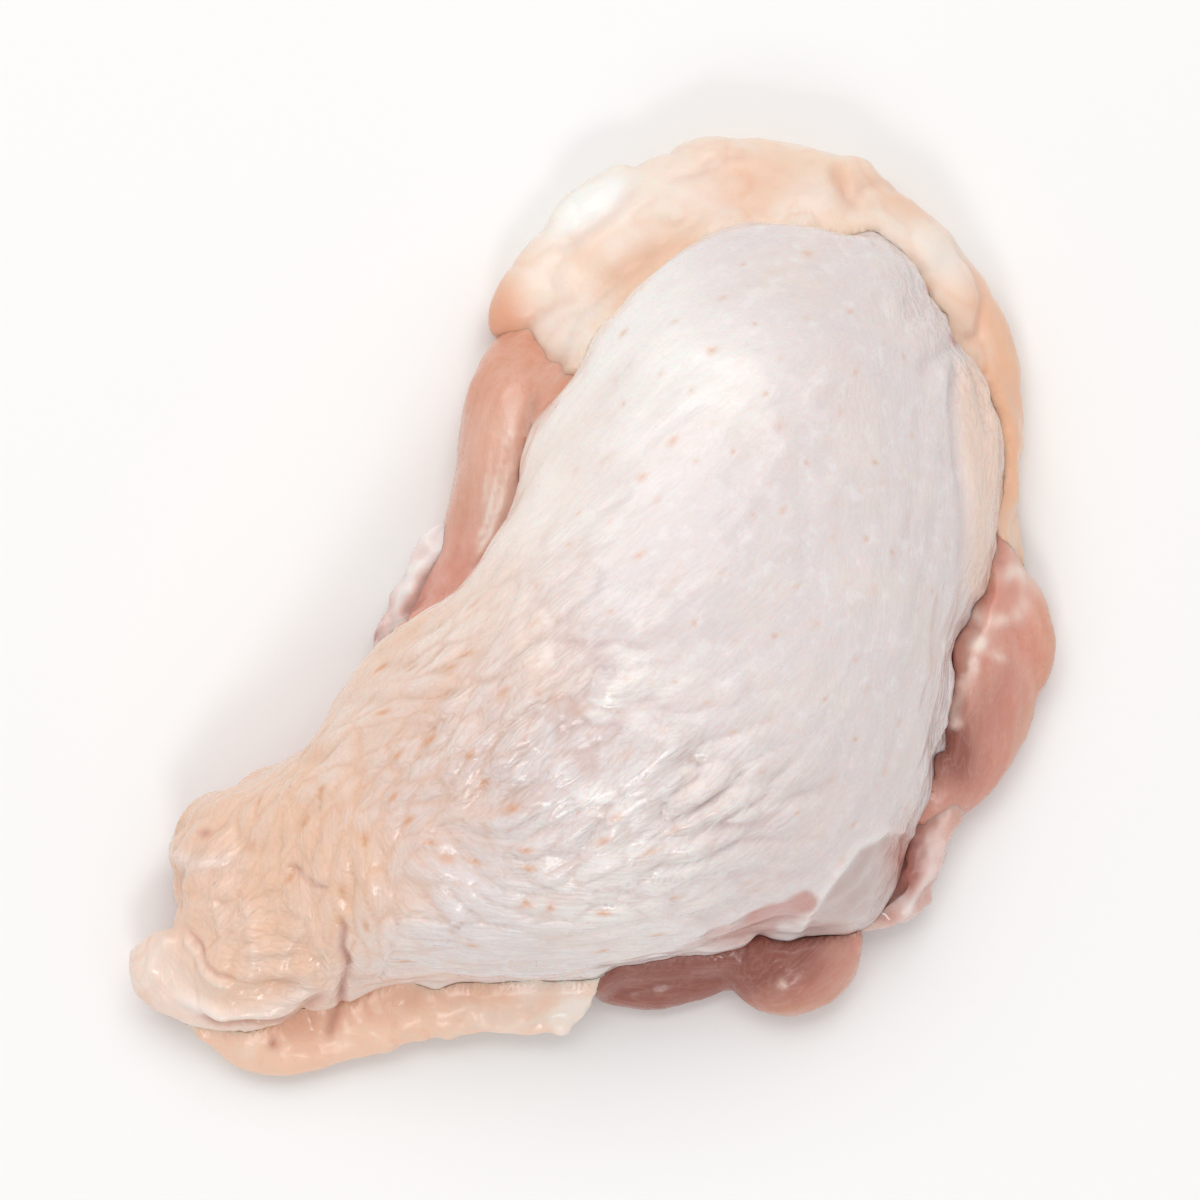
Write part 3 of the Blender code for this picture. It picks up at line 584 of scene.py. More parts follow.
def skinRelief(points, normals, rimDistance):
    x, y, z = points.T
    settled = smoothStep(0.0, 2.5, rimDistance)
    left = smoothStep(2, -24, x)
    tail = smoothStep(-44, -52, x)
    rough = settled * (1 - 0.6 * smoothStep(-54, -60, x))    # smooth at the rim and at the tail's tip
    crossed = np.clip(blobs(points, skinMarks["crossed"]), 0, 1)
    pleated = smoothStep(16, 5, rimDistance) * smoothStep(-4, 8, x) * smoothStep(4, -6, y - 0.1 * x)

    along = headings(points, normals, skinMarks["grain"])
    across = np.cross(normals, along)
    patchy = 0.75 + 0.35 * softNoise(points, 6, 5)
    ribs = streaks(points, along, 2.2, 5.0, 1)
    fine = streaks(points, along, 1.2, 3.2, 2)
    height = 0.55 * cloud(points, (13, 10, 10), 9) * settled
    height += (0.04 + 0.08 * left + 0.26 * pleated) * ribs * rough
    height += (0.03 + 0.02 * left + 0.20 * pleated + 0.12 * tail) * fine * rough

    # soft lumps on the tail, and pleats with sharp hollows between where the skin is drawn in
    pleats = streaks(points, along, 2.8, 3.2, 3)
    drawnIn = np.clip(crossed + 0.25 * left + 0.35 * tail, 0, 1)
    height += 0.65 * tail * cloud(points, 4.2, 14, 2) * settled
    height += skinMarks["pleatHeight"] * drawnIn * np.abs(pleats) * rough
    hollows = valley(pleats, 0.25) * np.clip(crossed + 0.5 * tail, 0, 1)

    # small raised fields between crossing creases, as long as the skin is drawn in
    centres = shakenRows(points, *skinMarks["fieldRows"])
    index, a, c, border = fieldsAround(points, along, across, centres, skinMarks["fieldStretch"])
    level = 0.2 + 0.8 * smoothStep(0.35, 0.75, normals[:, 2])    # the rows are spaced from above: fainter on steep sides
    share = np.clip(0.08 + left * (1 - tail) + 0.4 * crossed, 0, 1) * patchy * level
    raised = np.clip(border / 2.8, 0, 1) ** 0.7
    height += skinMarks["fieldHeight"] * share * raised * (0.5 + (index * 0.618 % 1)) * rough
    length, width = skinMarks["dashSize"]
    dash = np.exp(-((a + 1.3) / length) ** 2 - (c / width + 0.15 * a) ** 2) * (index % 3 == 0) * left * (1 - tail)
    height -= 0.4 * skinMarks["poreDepth"] * dash * rough

    follicles = shakenRows(points, *skinMarks["poreRows"])
    index, far = nearestIndex(points, follicles)
    strength = (index * 0.618 % 1) * (1 - left) * (1 - 0.8 * tail)
    size = 0.75 + 0.6 * (index * 0.381 % 1)
    offset = (points - follicles[index]) / size[:, None]
    a, c = (offset * along).sum(axis=1), (offset * across).sum(axis=1)
    length, width = skinMarks["poreSize"]
    pit = np.exp(-(a / length) ** 2 - (c / width + 0.2 * a * a * np.where(index % 2, 1, -1)) ** 2) * strength
    height += (0.08 * np.exp(-(far / 1.6) ** 2) * (1 - left) - skinMarks["poreDepth"] * pit) * rough

    broken = 0.7 + 0.3 * softNoise(points, 2.5, 8)
    creases = lines(points, skinMarks["creases"]) * broken
    folds = lines(points, skinMarks["folds"]) * broken
    ridges = lines(points, skinMarks["ridges"])
    height += 0.9 * ridges - 1.0 * creases - 0.9 * folds
    height += blobs(points, skinMarks["swells"]) * settled

    away, place = alongPath(points, skinMarks["leaf"])
    leafLine = valley(away, 0.6) * smoothStep(0, 0.1, place) * smoothStep(1, 0.8, place)
    onLeaf = smoothStep(-0.3, 1.6, away) * smoothStep(0, 0.08, place) * smoothStep(1, 0.9, place) * smoothStep(10, 5, away)
    height += 0.55 * onLeaf - 0.35 * leafLine

    away, place = alongPath(points, skinMarks["veil"])
    inside = smoothStep(0, 0.08, place) * smoothStep(1, 0.9, place)
    beyond = smoothStep(0.2, -0.7, away) * inside
    veilRim = valley(away - 0.35, 0.4) * inside
    height += (0.2 * veilRim - 0.35 * beyond) * settled

    # the lens of bare flesh: narrow at its start, blunt at its end
    away, place = alongPath(points, skinMarks["bareFlesh"])
    bare = smoothStep(0.35, -0.35, np.abs(away) - skinMarks["bareWidth"] * smoothStep(-0.2, 0.7, place)
                      + 0.35 * softNoise(points, 1.6, 13)) * (0.55 + 0.45 * place + 0.3 * softNoise(points, 2.4, 12))
    height -= 0.3 * bare

    roundness = np.clip(1 - rimDistance / skinMarks["edgeRound"], 0, 1)
    height -= 0.7 * (1 - np.sqrt(np.maximum(0.0, 1 - roundness ** 2)))

    # colour: peach towards the tail and along its edges, ivory towards the far side, where the paler tone is partly
    # painted light where the window lamp falls on that side
    drift = cloud(points, (9, 6, 6), 21)
    # painted shade goes in these gaps between the raised fields and in the pleats' hollows
    gaps = 0.6 * valley(border, 0.7) * share + hollows
    # painted sheen: white patches on the crossing pleats where the wet film would shine
    patches = smoothStep(0.3, 1.0, streaks(points, along, 3.6, 3.0, 17)) * crossed
    peach = smoothStep(10, -46, x - y) - 0.35 * smoothStep(-6, -14, y) * (1 - tail)
    peach += 0.30 * smoothStep(4.0, 0.5, rimDistance) * smoothStep(-8, 0, y)
    peach += 0.4 * smoothStep(3.0, 0.5, rimDistance) * smoothStep(-16, -22, x) * smoothStep(-8, -14, y)
    # peach gathers round the raised fields' borders and thins on their tops and on the ridges: painted shade and
    # highlight on the relief
    peach = np.clip(peach + (0.10 + 0.15 * left) * drift + 0.35 * share * left * (0.6 - raised), 0, 1)
    tip = smoothStep(-57, -64, x)
    peach = np.maximum(peach * (1 - 0.5 * np.clip(ridges, 0, 1)) * (1 - 0.4 * tip) * (1 - beyond), 0.68 * onLeaf)
    ivoryAndPaintedLight = smoothStep(-4, 12, y + 0.05 * x) * smoothStep(40, 22, x) * smoothStep(-50, -40, x)
    orangeSide = smoothStep(4, -24, x - 0.5 * y)
    fields = {
        # pale tone, plus painted highlights on the ridges and the field tops, and painted sheen in the pale blobs and
        # patches
        "ivoryAndPaintedLight": ivoryAndPaintedLight * (0.8 - 0.4 * drift) + 0.5 * np.clip(ridges, 0, 1) + 0.25 * share * raised + 0.5 * veilRim
                 + blobs(points, skinMarks["pale"]) + 0.8 * patches + 0.6 * onLeaf + 0.9 * tip,
        "peach": peach,
        # painted shade in the field gaps, pleat hollows, creases, the leaf's line and the fine pleats, and broad
        # painted shade
        "valley": (0.8 * gaps + 0.9 * creases) * (1 - orangeSide) + 0.4 * leafLine + blobs(points, skinMarks["broadShade"])
                  + 0.5 * pleated * valley(fine + 0.4, 0.5),
        # orange painted shade in the gaps and creases on the tail side, and the follicles' own orange dashes
        "orangeShadeAndDashes": orangeSide * (0.38 * gaps + 0.5 * creases) + dash,
        "pore": pit,
        "veil": beyond * (0.70 + 0.25 * drift + 0.08 * fine + 0.25 * smoothStep(4, 0.5, rimDistance)),
        "flesh": 0.9 * bare + blobs(points, skinMarks["pink"]),
        # deep red along the folds, partly painted shade, the skin's own dark dots, and painted shade along the low rim
        # at the tail
        "fold": folds + blobs(points, skinMarks["red"]) + 0.35 * (1 - settled) * (z < 12) * (x < -30),
    }
    return height, fields, along, (0.18 + 0.82 * pleated + 0.22 * left + 0.30 * crossed + 0.2 * tail) * rough


def makeSkin():
    bm = bmesh.new()
    bmesh.ops.create_grid(bm, x_segments=skinShape["cells"][0], y_segments=skinShape["cells"][1], size=1)
    made = newObject("skin", bm)
    flat = getPoints(made.data)
    points, theta, rimHeight = skinPoints(flat[:, 0], flat[:, 1])
    rim = np.abs(flat[:, :2]).max(axis=1) > 1 - 1e-5
    rimDistance = nearestIndex(points, points[rim])[1]
    seen = points * (1, 1, 0.2)
    shake = skinShape["rimShake"] * smoothStep(7, 1, rimDistance) * smoothStep(-64, -58, points[:, 0])
    points[:, 0] += shake * cloud(seen, 5.0, 91, 2)
    points[:, 1] += shake * cloud(seen, 5.0, 95, 2)
    setPoints(made.data, points)
    normals = getNormals(made.data)
    height, fields, along, wrinkled = skinRelief(points, normals, rimDistance)
    moved = points + normals * height[:, None]
    setPoints(made.data, moved)
    widest = np.abs(theta - math.pi / 2) < 0.012
    outline = np.column_stack([moved[widest, :2], rimHeight[widest]])
    for name, values in fields.items():
        giveAttribute(made.data, name, values)
    giveWrinkles(made.data, along, wrinkled)

    thin = made.vertex_groups.new(name="thin")
    made.vertex_groups.new(name="inner")
    weights = np.round(0.3 + 0.7 * smoothStep(0, 2.0, rimDistance), 1)
    for level in np.unique(weights):
        thin.add(np.flatnonzero(weights == level).tolist(), float(level), "REPLACE")
    wall = made.modifiers.new("thickness", "SOLIDIFY")
    wall.thickness = skinShape["thickness"]
    wall.offset = -1
    wall.vertex_group = "thin"
    wall.shell_vertex_group = "inner"
    applyModifiers(made)
    thinner = made.modifiers.new("fewer inside", "DECIMATE")
    thinner.ratio = 0.525
    thinner.vertex_group = "inner"
    thinner.vertex_group_factor = 1000
    applyModifiers(made)
    return made, outline


skin, skinOutline = makeSkin()
skinFaces = [tuple(face.vertices) for face in skin.data.polygons]
skinTree = bvhtree.BVHTree.FromPolygons(getPoints(skin.data).tolist(), skinFaces)
print("skin shaped")


# Soft bodies under the skin

def addLobe(bm, at, radii, turn=0.0):
    place = Matrix.Translation(at) @ Matrix.Rotation(math.radians(turn), 4, "Z") @ Matrix.Diagonal((*radii, 1))
    bmesh.ops.create_uvsphere(bm, u_segments=40, v_segments=24, radius=1, matrix=place)


def addBand(bm, stations, blunt=0.45):
    # a soft strap along (x, y, z, half width, half height) stations
    knots = np.array(stations, float)
    along = np.linspace(0, 1, len(knots))
    xAt, yAt, zAt, widthAt, heightAt = (smoothCurve(list(zip(along, row))) for row in knots.T)
    made = bmesh.ops.create_uvsphere(bm, u_segments=32, v_segments=12 * len(knots), radius=1)["verts"]
    ball = np.array([vert.co for vert in made])
    theta = np.arccos(np.clip(ball[:, 2], -1, 1))
    s = theta / math.pi
    before, after = np.maximum(0.0, s - 0.02), np.minimum(1.0, s + 0.02)
    heading = np.stack([xAt(after) - xAt(before), yAt(after) - yAt(before)], axis=-1)
    heading /= np.linalg.norm(heading, axis=1, keepdims=True)
    ring = np.maximum(np.sin(theta), 1e-6)
    across, up = (ball[:, :2] / ring[:, None] * ring[:, None] ** blunt).T
    x = xAt(s) + heading[:, 1] * across * widthAt(s)
    y = yAt(s) - heading[:, 0] * across * widthAt(s)
    z = zAt(s) + up * heightAt(s)
    for vert, place in zip(made, np.stack([x, y, z], axis=-1).tolist()):
        vert.co = place


def fuse(name, bm, voxel, turns):
    made = newObject(name, bm)
    remesh = made.modifiers.new("fuse", "REMESH")
    remesh.mode = "VOXEL"
    remesh.voxel_size = voxel
    smooth = made.modifiers.new("soften", "SMOOTH")
    smooth.factor = 0.5
    smooth.iterations = turns
    return applyModifiers(made)


def rimGap(points):
    # how far each point lies from the skin's outline, seen from above, and how high the skin is there
    index, far = nearestIndex(points * (1, 1, 0), skinOutline * (1, 1, 0))
    return far, skinOutline[index, 2]


def settle(made, height, gap=0.1, snug=1.2):
    # relief along the normals, drawn against the skin's side, pressed down under it, and flat on the floor
    points = getPoints(made.data) + getNormals(made.data) * height[:, None]
    edgeHeight = rimGap(points)[1]
    up = Vector((0, 0, 1))
    for k, (x, y, z) in enumerate(points.tolist()):
        hit = skinTree.ray_cast(Vector((x, y, -30)), up)[0]
        if hit is not None:
            points[k, 2] = min(z, hit.z - gap)
        elif z > edgeHeight[k] - 1:
            place = Vector((x, y, z))
            wall, normal, face, away = skinTree.find_nearest(place, snug)
            if wall is not None and away > gap:
                pull = min(1.0, 2 * (1 - away / snug)) * (1 - gap / away)
                points[k] = place.lerp(wall, pull)
    points[:, 2] = np.maximum(points[:, 2], 0.0)
    setPoints(made.data, points)


def meetSkin(made, meet):
    # the upper side swells or sinks to the skin's outline, so that no dark gap is left:
    # (reach, lift, fall, climb), where fall and climb are the steepest ways away from the outline, in mm for each mm
    reach, lift, fall, climb = meet
    points = getPoints(made.data)
    far, edgeHeight = rimGap(points)
    upper = smoothStep(-0.1, 0.5, getNormals(made.data)[:, 2])
    missing = np.maximum(0.0, edgeHeight + lift - points[:, 2] - fall * far)
    points[:, 2] += missing * smoothStep(reach, 0.3 * reach, far) * upper
    points[:, 2] = np.minimum(points[:, 2], edgeHeight + lift + climb * far)
    setPoints(made.data, points)


# The muscle under the skin, and its lobes that show past the edge
muscle = {
    "voxel": 0.53, "smoothing": 14, "inset": 1.5, "sink": 2.0, "baseDepth": 1.3, "baseSquare": 0.5,
    "farBand": ((24.0, 28.8, 3.0, 4.0, 3.6), (16.0, 26.2, 3.6, 6.4, 4.2), (9.4, 23.2, 5.0, 6.2, 7.0),
                (2.4, 17.4, 5.0, 5.8, 7.4), (-6.0, 12.6, 4.4, 5.2, 6.6), (-15.0, 10.0, 3.6, 4.4, 5.4),
                (-26.0, 8.0, 3.0, 3.8, 4.4)),
    # the low lobe at (-21, -36.6) fills the hollow by the skin's point, where there is only shadow, and is painted dark
    # as that shadow
    "lobes": (((25.0, -28.0, 4.6), (17.0, 12.0, 7.0), 28), ((33.5, -32.5, 3.6), (6.0, 8.6, 4.6), -24),
              ((23.0, -38.6, 3.6), (12.5, 6.2, 5.0), 17), ((-8.0, -43.6, 4.0), (8.3, 8.0, 5.4), 0),
              ((-21.0, -36.6, 2.4), (9.0, 4.0, 3.6), -36), ((12.0, 18.6, 5.0), (8.4, 6.2, 7.4), 0)),
    "grain": ((-14, 11, -8), (-6, 13, 25), (1, 17, 38), (8, 22, 30), (14, 25, 20), (25, -35, 62), (34, -32, 70),
              (20, -41, 50), (-8, -46, 10), (-22, -38, -36)),
    "string": ((28.6, -32.6), (27.6, -34.0), (25.6, -34.8), (23.6, -35.8), (21.6, -38.1)),
    "flecks": ((29.8, -32.2, 0.9, 1.5, 20, 1.0), (33.3, -31.6, 0.8, 1.8, -30, 0.9), (36.4, -32.3, 0.9, 1.5, 40, 0.8),
               (38.2, -28.4, 0.9, 1.4, 0, 0.8), (32.0, -29.9, 0.7, 1.6, 60, 0.8), (30.6, -34.6, 0.5, 2.4, -60, 0.5),
               (39.6, -30.4, 1.5, 1.6, -60, 0.6), (-12.0, -46.5, 0.5, 1.2, 0, 0.5)),
    "cover": ((-1.4, 15.3, 1.7, 3.2, 36, 0.6), (6.4, 21.4, 1.2, 2.4, 34, 0.35)),
    "amber": ((0.9, 1.8, ((45.0, -20.0), (43.6, -26.0), (41.4, -30.6), (38.4, -35.6), (35.4, -39.6), (29.6, -42.8), (22.0, -45.4))),
              (0.8, 1.3, ((-17.0, -46.0), (-13.0, -50.0), (-8.0, -52.0), (-2.0, -51.0), (1.0, -48.4)))),
    "shade": ((20.0, -39.4, 2.4, 1.8, 60, 0.8), (-21.0, -37.4, 5.0, 2.2, -36, 1.6), (-10.0, -42.8, 2.2, 3.4, -14, 1.0),
              (23.4, -34.8, 1.3, 3.4, 42, 0.8), (-9.0, -46.6, 4.0, 1.3, 0, 0.5), (24.0, -39.2, 4.6, 1.8, 20, 0.35)),
    "stripes": ((0.9, 0.30, ((5.6, 19.6), (2.6, 17.4), (-0.4, 15.2), (-3.4, 13.4), (-7.0, 12.2))),
                (0.8, 0.28, ((7.4, 21.6), (4.0, 19.6), (0.6, 17.0), (-3.0, 14.6), (-6.6, 13.2))),
                (0.6, 0.26, ((3.0, 20.2), (0.2, 18.0), (-2.6, 15.8))),
                (0.7, 0.28, ((6.8, 20.6), (3.2, 18.4), (0.0, 15.8)))),
    "seam": ((11.6, 22.6), (8.6, 20.6), (4.2, 17.6), (0.6, 14.4), (-3.6, 12.2), (-8.6, 11.3)),
    "meet": (2.6, 0.4, 0.35, 0.9),
}


def makeMuscle():
    bm = bmesh.new()
    made = bmesh.ops.create_uvsphere(bm, u_segments=160, v_segments=96, radius=1)["verts"]
    ball = np.array([vert.co for vert in made])
    theta = np.arccos(np.clip(ball[:, 2], -1, 1))
    points = formPoints(theta, np.arctan2(ball[:, 1], ball[:, 0]), muscle["inset"], muscle["sink"])
    under = 1 - muscle["baseDepth"] * np.abs(np.cos(theta)) ** muscle["baseSquare"]
    points[:, 2] *= np.where(theta > math.pi / 2, under, 1)
    for vert, place in zip(made, points.tolist()):
        vert.co = place
    for at, radii, turn in muscle["lobes"]:
        addLobe(bm, at, radii, turn)
    addBand(bm, muscle["farBand"])
    made = fuse("muscle", bm, muscle["voxel"], muscle["smoothing"])

    meetSkin(made, muscle["meet"])
    points, normals = getPoints(made.data), getNormals(made.data)
    x, y, z = points.T
    along = headings(points, normals, muscle["grain"])
    strands = streaks(points, along, 1.0, 5.0, 31)
    bundles = streaks(points, along, 2.8, 7.0, 32)
    farSide = smoothStep(8, 12, y)
    beaded = 0.75 + 0.4 * softNoise(points, 1.3, 36)
    string = line(points, muscle["string"], 0.55, 0.1) * beaded * (z > 2)
    flecks = blobs(points, muscle["flecks"]) * beaded * (z > 2)
    stripes = lines(points, muscle["stripes"]) * (0.8 + 0.4 * strands)
    seam = line(points, muscle["seam"], 0.5, 0.1)
    touching = smoothStep(1.6, 0.0, rimGap(points)[0])
    settle(made, 0.35 * cloud(points, 7, 35) + 0.05 * strands + 0.08 * bundles + 0.5 * string + 0.45 * flecks
           + 0.3 * stripes - 0.3 * seam)
    giveAttribute(made.data, "amber", lines(points, muscle["amber"]) + 0.85 * smoothStep(9, 19, y + 0.35 * x))
    giveAttribute(made.data, "fibre", 0.18 + 0.10 * strands + 0.06 * farSide * bundles)
    # painted shade: the shade blobs, beside the skin's edge, in the seam and towards the floor
    giveAttribute(made.data, "shadeAndDeepTone", 1.1 * blobs(points, muscle["shade"]) + 0.4 * touching * (1 - farSide)
                  + 0.35 * seam + 0.15 * smoothStep(4, 0, z) * (1 - farSide))
    giveAttribute(made.data, "pale", string + 1.3 * flecks + stripes + blobs(points, muscle["cover"]))
    giveWrinkles(made.data, along, 0.20 + 0.08 * farSide)
    return made


finishPiece(makeMuscle(), "meat", meatMaterial)

# The fat that spreads round the head
fat = {
    "voxel": 0.42, "smoothing": 14,
    "roll": ((12.6, 25.2, 4.6, 4.6, 6.4), (20.0, 27.0, 5.0, 9.0, 7.6), (30.0, 26.2, 5.0, 11.0, 7.9),
             (40.0, 22.0, 5.2, 11.5, 8.2), (47.0, 14.5, 5.2, 10.2, 8.2), (50.0, 6.0, 5.0, 9.0, 7.9),
             (50.4, -3.0, 4.4, 7.9, 7.2), (47.6, -12.0, 3.8, 7.0, 6.0), (43.4, -19.6, 3.2, 4.8, 4.8),
             (40.2, -28.8, 2.6, 2.4, 3.0)),
    "lobes": (((21.5, 31.6, 3.6), (9.6, 4.6, 5.2), 8), ((29.6, 34.4, 4.8), (6.8, 3.2, 4.4), 3),
              ((18.6, 23.4, 4.6), (5.4, 4.0, 5.8), -8),
              ((44.5, 26.5, 4.6), (7.8, 4.8, 7.0), -52), ((53.6, 17.4, 4.4), (4.0, 3.6, 6.2), 0)),
    "creases": (
        (0.35, 0.9, ((22.0, 33.4), (26.4, 32.6), (31.4, 32.2), (36.6, 32.6))),
        (0.55, 0.9, ((53.8, 20.2), (52.6, 17.4), (52.0, 15.2), (51.6, 13.2))),
        (0.35, 0.7, ((52.4, 14.6), (54.4, 15.6), (56.6, 14.8), (58.2, 12.0))),
        (0.6, 0.7, ((58.6, 6.0), (58.0, 0.6), (56.6, -2.6), (53.2, -5.6), (50.0, -5.0))),
        (0.35, 0.8, ((37.0, 31.4), (41.0, 29.0), (44.6, 28.8), (48.0, 26.0))),
        (0.30, 0.7, ((15.4, 23.6), (14.0, 26.0), (15.2, 28.6), (19.0, 28.4), (22.6, 26.4)))),
    "swells": ((45.0, 25.0, 3.6, 1.4, -45, -0.35), (27.4, 25.4, 2.6, 1.6, 20, -0.3), (18.0, 25.4, 3.4, 1.3, 30, 0.4),
               (36.0, 29.6, 4.0, 1.5, -15, 0.3), (55.0, 5.4, 3.0, 1.6, -75, 0.6), (54.4, -1.0, 2.4, 1.3, -60, 0.5),
               (53.8, 18.0, 1.8, 1.2, -60, 0.3)),
    # darker patches: painted shade in the hollows, and a deeper tone at the fat's end
    "shadeAndDeepTone": ((27.8, 25.2, 2.2, 2.0, -8, 0.8), (33.4, 24.4, 1.8, 1.6, -20, 0.5), (45.0, 24.8, 3.8, 1.3, -45, 0.7),
             (52.8, 17.2, 1.6, 1.4, 70, 0.6), (10.8, 27.4, 3.0, 1.6, 85, 1.3), (14.6, 32.2, 2.4, 1.8, 45, 0.9),
             (58.0, 11.0, 2.6, 2.2, -70, 0.5), (46.0, -17.0, 4.0, 2.0, 60, 0.5), (56.6, -5.0, 3.0, 1.8, -65, 0.8)),
    # paler lobes and zones of the fat, and painted highlights on the top tip and in the bright streak at the left end
    "pale": ((29.6, 34.8, 2.5, 2.1, -6, 1.5), (19.0, 25.2, 3.6, 1.4, 25, 0.45), (38.0, 29.6, 4.2, 1.8, -20, 0.45),
             (11.6, 29.9, 0.4, 3.4, 28, 0.9), (55.4, 3.4, 3.0, 1.9, -80, 0.55), (20.0, 31.4, 3.0, 2.0, 20, 0.3)),
    "outerBand": ((59.2, 2.0), (58.4, -4.0), (55.8, -10.0), (51.4, -14.8), (46.4, -20.0)),
    "meet": (3.0, 0.4, 0.25, 0.8),
}


def makeFat():
    bm = bmesh.new()
    addBand(bm, fat["roll"])
    for at, radii, turn in fat["lobes"]:
        addLobe(bm, at, radii, turn)
    made = fuse("fat", bm, fat["voxel"], fat["smoothing"])
    meetSkin(made, fat["meet"])
    points = getPoints(made.data)
    x, y, z = points.T
    top = smoothStep(2.5, 6, z)
    creases = lines(points, fat["creases"]) * top
    far = rimGap(points)[0]
    lobules = cloud(points, 5.5, 45, 2)
    between = valley(lobules, 0.09) * top
    height = 0.30 * cloud(points, (8, 7, 7), 41) + 0.06 * softNoise(points, 1.8, 44)
    height += 0.5 * np.abs(lobules) + blobs(points, fat["swells"]) * top - creases - 0.2
    settle(made, height)
    outer = line(points, fat["outerBand"], 2.8, 0.1)
    # painted shade in the hollows, down the outer band, towards the near end and between the lobules
    giveAttribute(made.data, "shadeAndDeepTone", blobs(points, fat["shadeAndDeepTone"]) + 0.8 * outer + 0.5 * smoothStep(-4, -10, y)
                  + 0.3 * between)
    paleLobe = blob(points, 18.6, 25.6, 3.6, 1.3, 20)
    giveAttribute(made.data, "flesh", smoothStep(19, 11, x + 0.1 * (26 - y)) * (1 - paleLobe))
    # painted shade in the creases and beside the skin's edge
    giveAttribute(made.data, "crease", 0.5 * creases + 0.4 * smoothStep(1.3, 0.0, far) * smoothStep(22, 14, y))
    giveAttribute(made.data, "pale", blobs(points, fat["pale"]))
    return made


finishPiece(makeFat(), "fat_pad", fatMaterial)

# The fold of skin that comes out under the near side and the tail
flap = {
    "voxel": 0.40, "smoothing": 5,
    "band": ((-62.4, 0.6, 2.4, 3.0, 1.6), (-61.8, -5.0, 2.6, 5.6, 2.0), (-58.8, -10.6, 2.8, 7.0, 2.4),
             (-53.0, -15.0, 3.2, 6.2, 2.6), (-45.4, -19.0, 3.8, 5.6, 2.6), (-38.0, -24.8, 4.4, 5.2, 2.4),
             (-31.6, -31.0, 4.8, 5.4, 2.0), (-25.6, -32.6, 5.0, 1.8, 0.9)),
    "edge": ((-67.0, -6.0), (-64.4, -11.9), (-60.4, -16.2), (-54.4, -19.3), (-50.0, -21.8), (-46.0, -24.5),
             (-41.5, -27.2), (-37.4, -30.0), (-34.0, -33.0), (-31.4, -35.6), (-28.0, -35.0), (-22.0, -35.4)),
    "crease": ((-49.1, -14.0), (-51.5, -15.7), (-53.9, -17.1), (-54.8, -18.0)),
    "meet": (5.0, 0.5, 0.45, 0.5),
}


def makeFlap():
    bm = bmesh.new()
    addBand(bm, flap["band"])
    made = fuse("underFlap", bm, flap["voxel"], flap["smoothing"])
    meetSkin(made, flap["meet"])
    points = getPoints(made.data)
    x, y, z = points.T
    away, place = alongPath(points, flap["edge"])
    rim = valley(away, 1.5)
    ragged = smoothStep(-52, -40, x)
    crease = line(points, flap["crease"], 0.6, 0.2) * (0.8 + 0.4 * softNoise(points, 1.5, 55))
    height = 0.35 * cloud(points, 5, 51) + 1.0 * softNoise(points, (2.0, 2.0, 3.0), 54) * rim * ragged - 0.5 * crease
    settle(made, height)
    # painted shade in the crease, and a dark dot beside it
    giveAttribute(made.data, "crease", 0.7 * crease + 0.9 * blob(points, -59.5, -13.8, 0.6))
    giveAttribute(made.data, "pale", (rim * smoothStep(-46, -36, x) + smoothStep(-37, -32, x))
                  * (0.7 + 0.6 * softNoise(points, 2.2, 56)))
    # painted shade on the part that lies under the skin's edge, and by the tuck
    giveAttribute(made.data, "shadeAndDeepTone", smoothStep(1.5, 4.0, away) * 0.6 + 0.5 * blob(points, -56.0, -14.6, 4.0))
    return made


finishPiece(makeFlap(), "under_flap", flapMaterial)

# Scraps of clear membrane
membranes = {
    "voxel": 0.30, "smoothing": 6, "meet": (2.0, 0.1, 0.5, 0.8),
    "farMembrane": ((-23.0, 12.0, 3.0, 1.5, 1.8), (-17.0, 14.0, 3.8, 2.4, 2.2), (-10.0, 15.8, 4.6, 2.6, 2.4),
                    (-4.0, 18.4, 5.6, 1.6, 1.8)),
    "nearMembrane": ((-4.0, -45.4, 6.4, 1.8, 1.8), (1.0, -46.4, 5.6, 3.0, 2.6), (6.0, -47.2, 4.4, 3.6, 3.6),
                     (11.0, -45.2, 4.2, 3.0, 3.2), (15.6, -43.2, 4.6, 3.4, 3.0), (19.0, -40.6, 4.8, 1.8, 1.8)),
    "grain": ((-20, 13, 20), (-10, 16, 15), (-4, 18, 40), (0, -46, -10), (6, -47, 20), (14, -44, 80), (18, -41, 60)),
    # the ribbon's own whiteness, and painted highlights on it, on the knob and along the near strip
    "pale": ((-8.2, 16.6, 1.5, 1.8, 60, 1.0), (-14.6, 15.2, 1.2, 3.0, 12, 0.8), (-12.0, 15.4, 2.6, 2.2, 20, 0.7),
             (4.6, -49.0, 1.1, 1.2, 0, 0.9), (15.6, -41.2, 0.9, 2.6, 60, 0.35), (11.8, -46.0, 0.8, 3.4, 38, 0.25)),
    # painted shade in the hollows
    "shadeAndDeepTone": ((-10.0, 14.2, 0.9, 1.4, 10, 0.8), (-21.0, 12.9, 1.3, 1.0, 0, 0.9), (8.0, -45.0, 2.1, 2.2, 48, 1.4),
             (19.0, -39.8, 1.2, 1.4, 50, 0.6)),
}


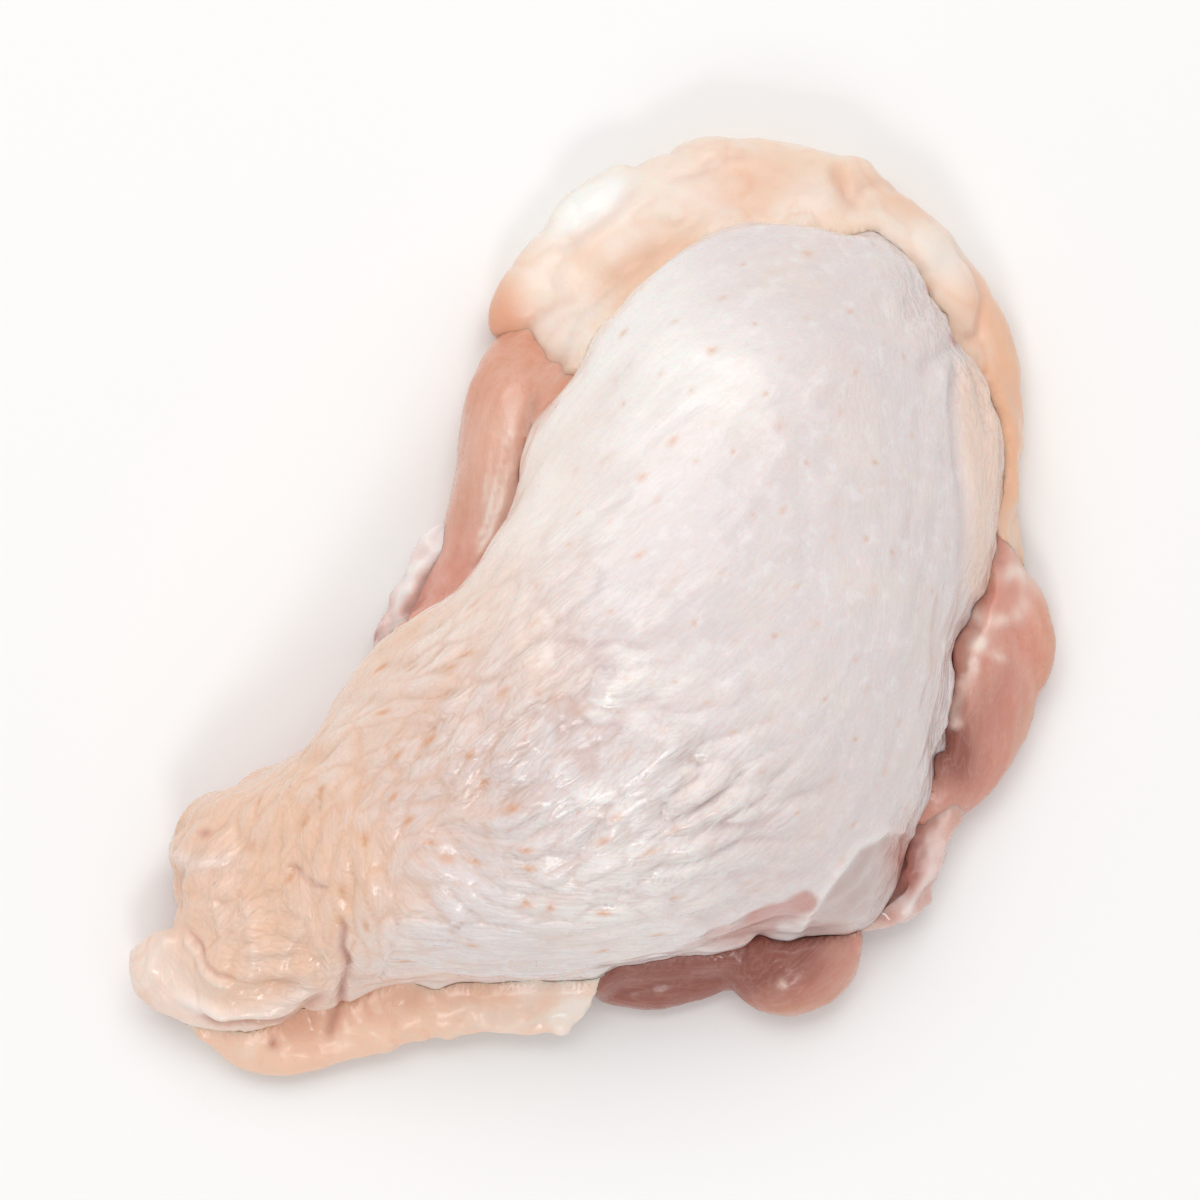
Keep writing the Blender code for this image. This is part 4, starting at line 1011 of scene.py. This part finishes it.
def makeMembrane(name, seed):
    bm = bmesh.new()
    addBand(bm, membranes[name])
    made = fuse(name, bm, membranes["voxel"], membranes["smoothing"])
    points, normals = getPoints(made.data), getNormals(made.data)
    along = headings(points, normals, membranes["grain"])
    folds = streaks(points, along, 1.3, 2.2, seed)
    pale, shadeAndDeepTone = blobs(points, membranes["pale"]), blobs(points, membranes["shadeAndDeepTone"])
    meetSkin(made, membranes["meet"])
    settle(made, 0.9 * cloud(points, 3.6, seed + 3, 2) + 0.16 * folds + 0.35 * pale - 0.4 * shadeAndDeepTone - 0.2)
    # painted highlights on the folds' tops and in the pale blobs; painted shade in the hollows and down the folds
    giveAttribute(made.data, "pale", 0.06 + 0.14 * folds + pale)
    giveAttribute(made.data, "shadeAndDeepTone", shadeAndDeepTone - 0.12 * folds)
    return made


for name, node, seed in (("farMembrane", "far_membrane", 61), ("nearMembrane", "near_membrane", 67)):
    finishPiece(makeMembrane(name, seed), node, membraneMaterial)

finishPiece(skin, "skin", skinMaterial)

# Floor, light and camera
studio = {
    "floor": "#F4F3F1", "floorSize": 3.0,
    "lens": 200, "distance": 0.75, "elevation": 84,
    "photoUp": (0.656, 0.755), "target": (0.8, -0.6, 12.0),
    "windowPower": 6.6, "windowSize": (1.1, 0.9), "windowFrom": (0.26, 0.46, 1.02),
    "lampPower": 2.0, "lampSize": (0.28, 0.20), "lampFrom": (-0.46, -0.52, 0.72),
    "sky": "#FBFBFD", "skyStrength": 0.58,
}


def makeFloor():
    bm = bmesh.new()
    bmesh.ops.create_grid(bm, x_segments=1, y_segments=1, size=studio["floorSize"] / 2)
    made = newObject("floor", bm)
    material, tree, shader = newMaterial("matt white laminate")
    shader.inputs["Base Color"].default_value = linearColour(studio["floor"])
    shader.inputs["Roughness"].default_value = 0.55
    made.data.materials.append(material)


def makeLight(name):
    lamp = bpy.data.lights.new(name, "AREA")
    lamp.shape = "RECTANGLE"
    lamp.size, lamp.size_y = studio[name + "Size"]
    lamp.energy = studio[name + "Power"]
    made = bpy.data.objects.new(name, lamp)
    bpy.context.scene.collection.objects.link(made)
    made.location = studio[name + "From"]
    made.rotation_euler = (-made.location).to_track_quat("-Z", "Y").to_euler()


def makeSky():
    world = bpy.data.worlds.new("studio")
    bpy.context.scene.world = world
    world.use_nodes = True
    background = world.node_tree.nodes["Background"]
    background.inputs["Color"].default_value = linearColour(studio["sky"])
    background.inputs["Strength"].default_value = studio["skyStrength"]


def makeCamera():
    lens = bpy.data.cameras.new("camera")
    lens.lens = studio["lens"]
    made = bpy.data.objects.new("camera", lens)
    bpy.context.scene.collection.objects.link(made)
    up = Vector((*studio["photoUp"], 0)).normalized()
    tilt = math.radians(studio["elevation"])
    back = -up * math.cos(tilt) + Vector((0, 0, math.sin(tilt)))
    target = Vector(np.array(studio["target"]) + shift) * mm
    made.location = target + back * studio["distance"]
    right = up.cross(Vector((0, 0, 1))).normalized()
    turned = Matrix((right, back.cross(right), back)).transposed()
    made.rotation_euler = turned.to_euler()
    bpy.context.scene.camera = made


makeFloor()
makeLight("window")
makeLight("lamp")
makeSky()
makeCamera()
print("studio done")
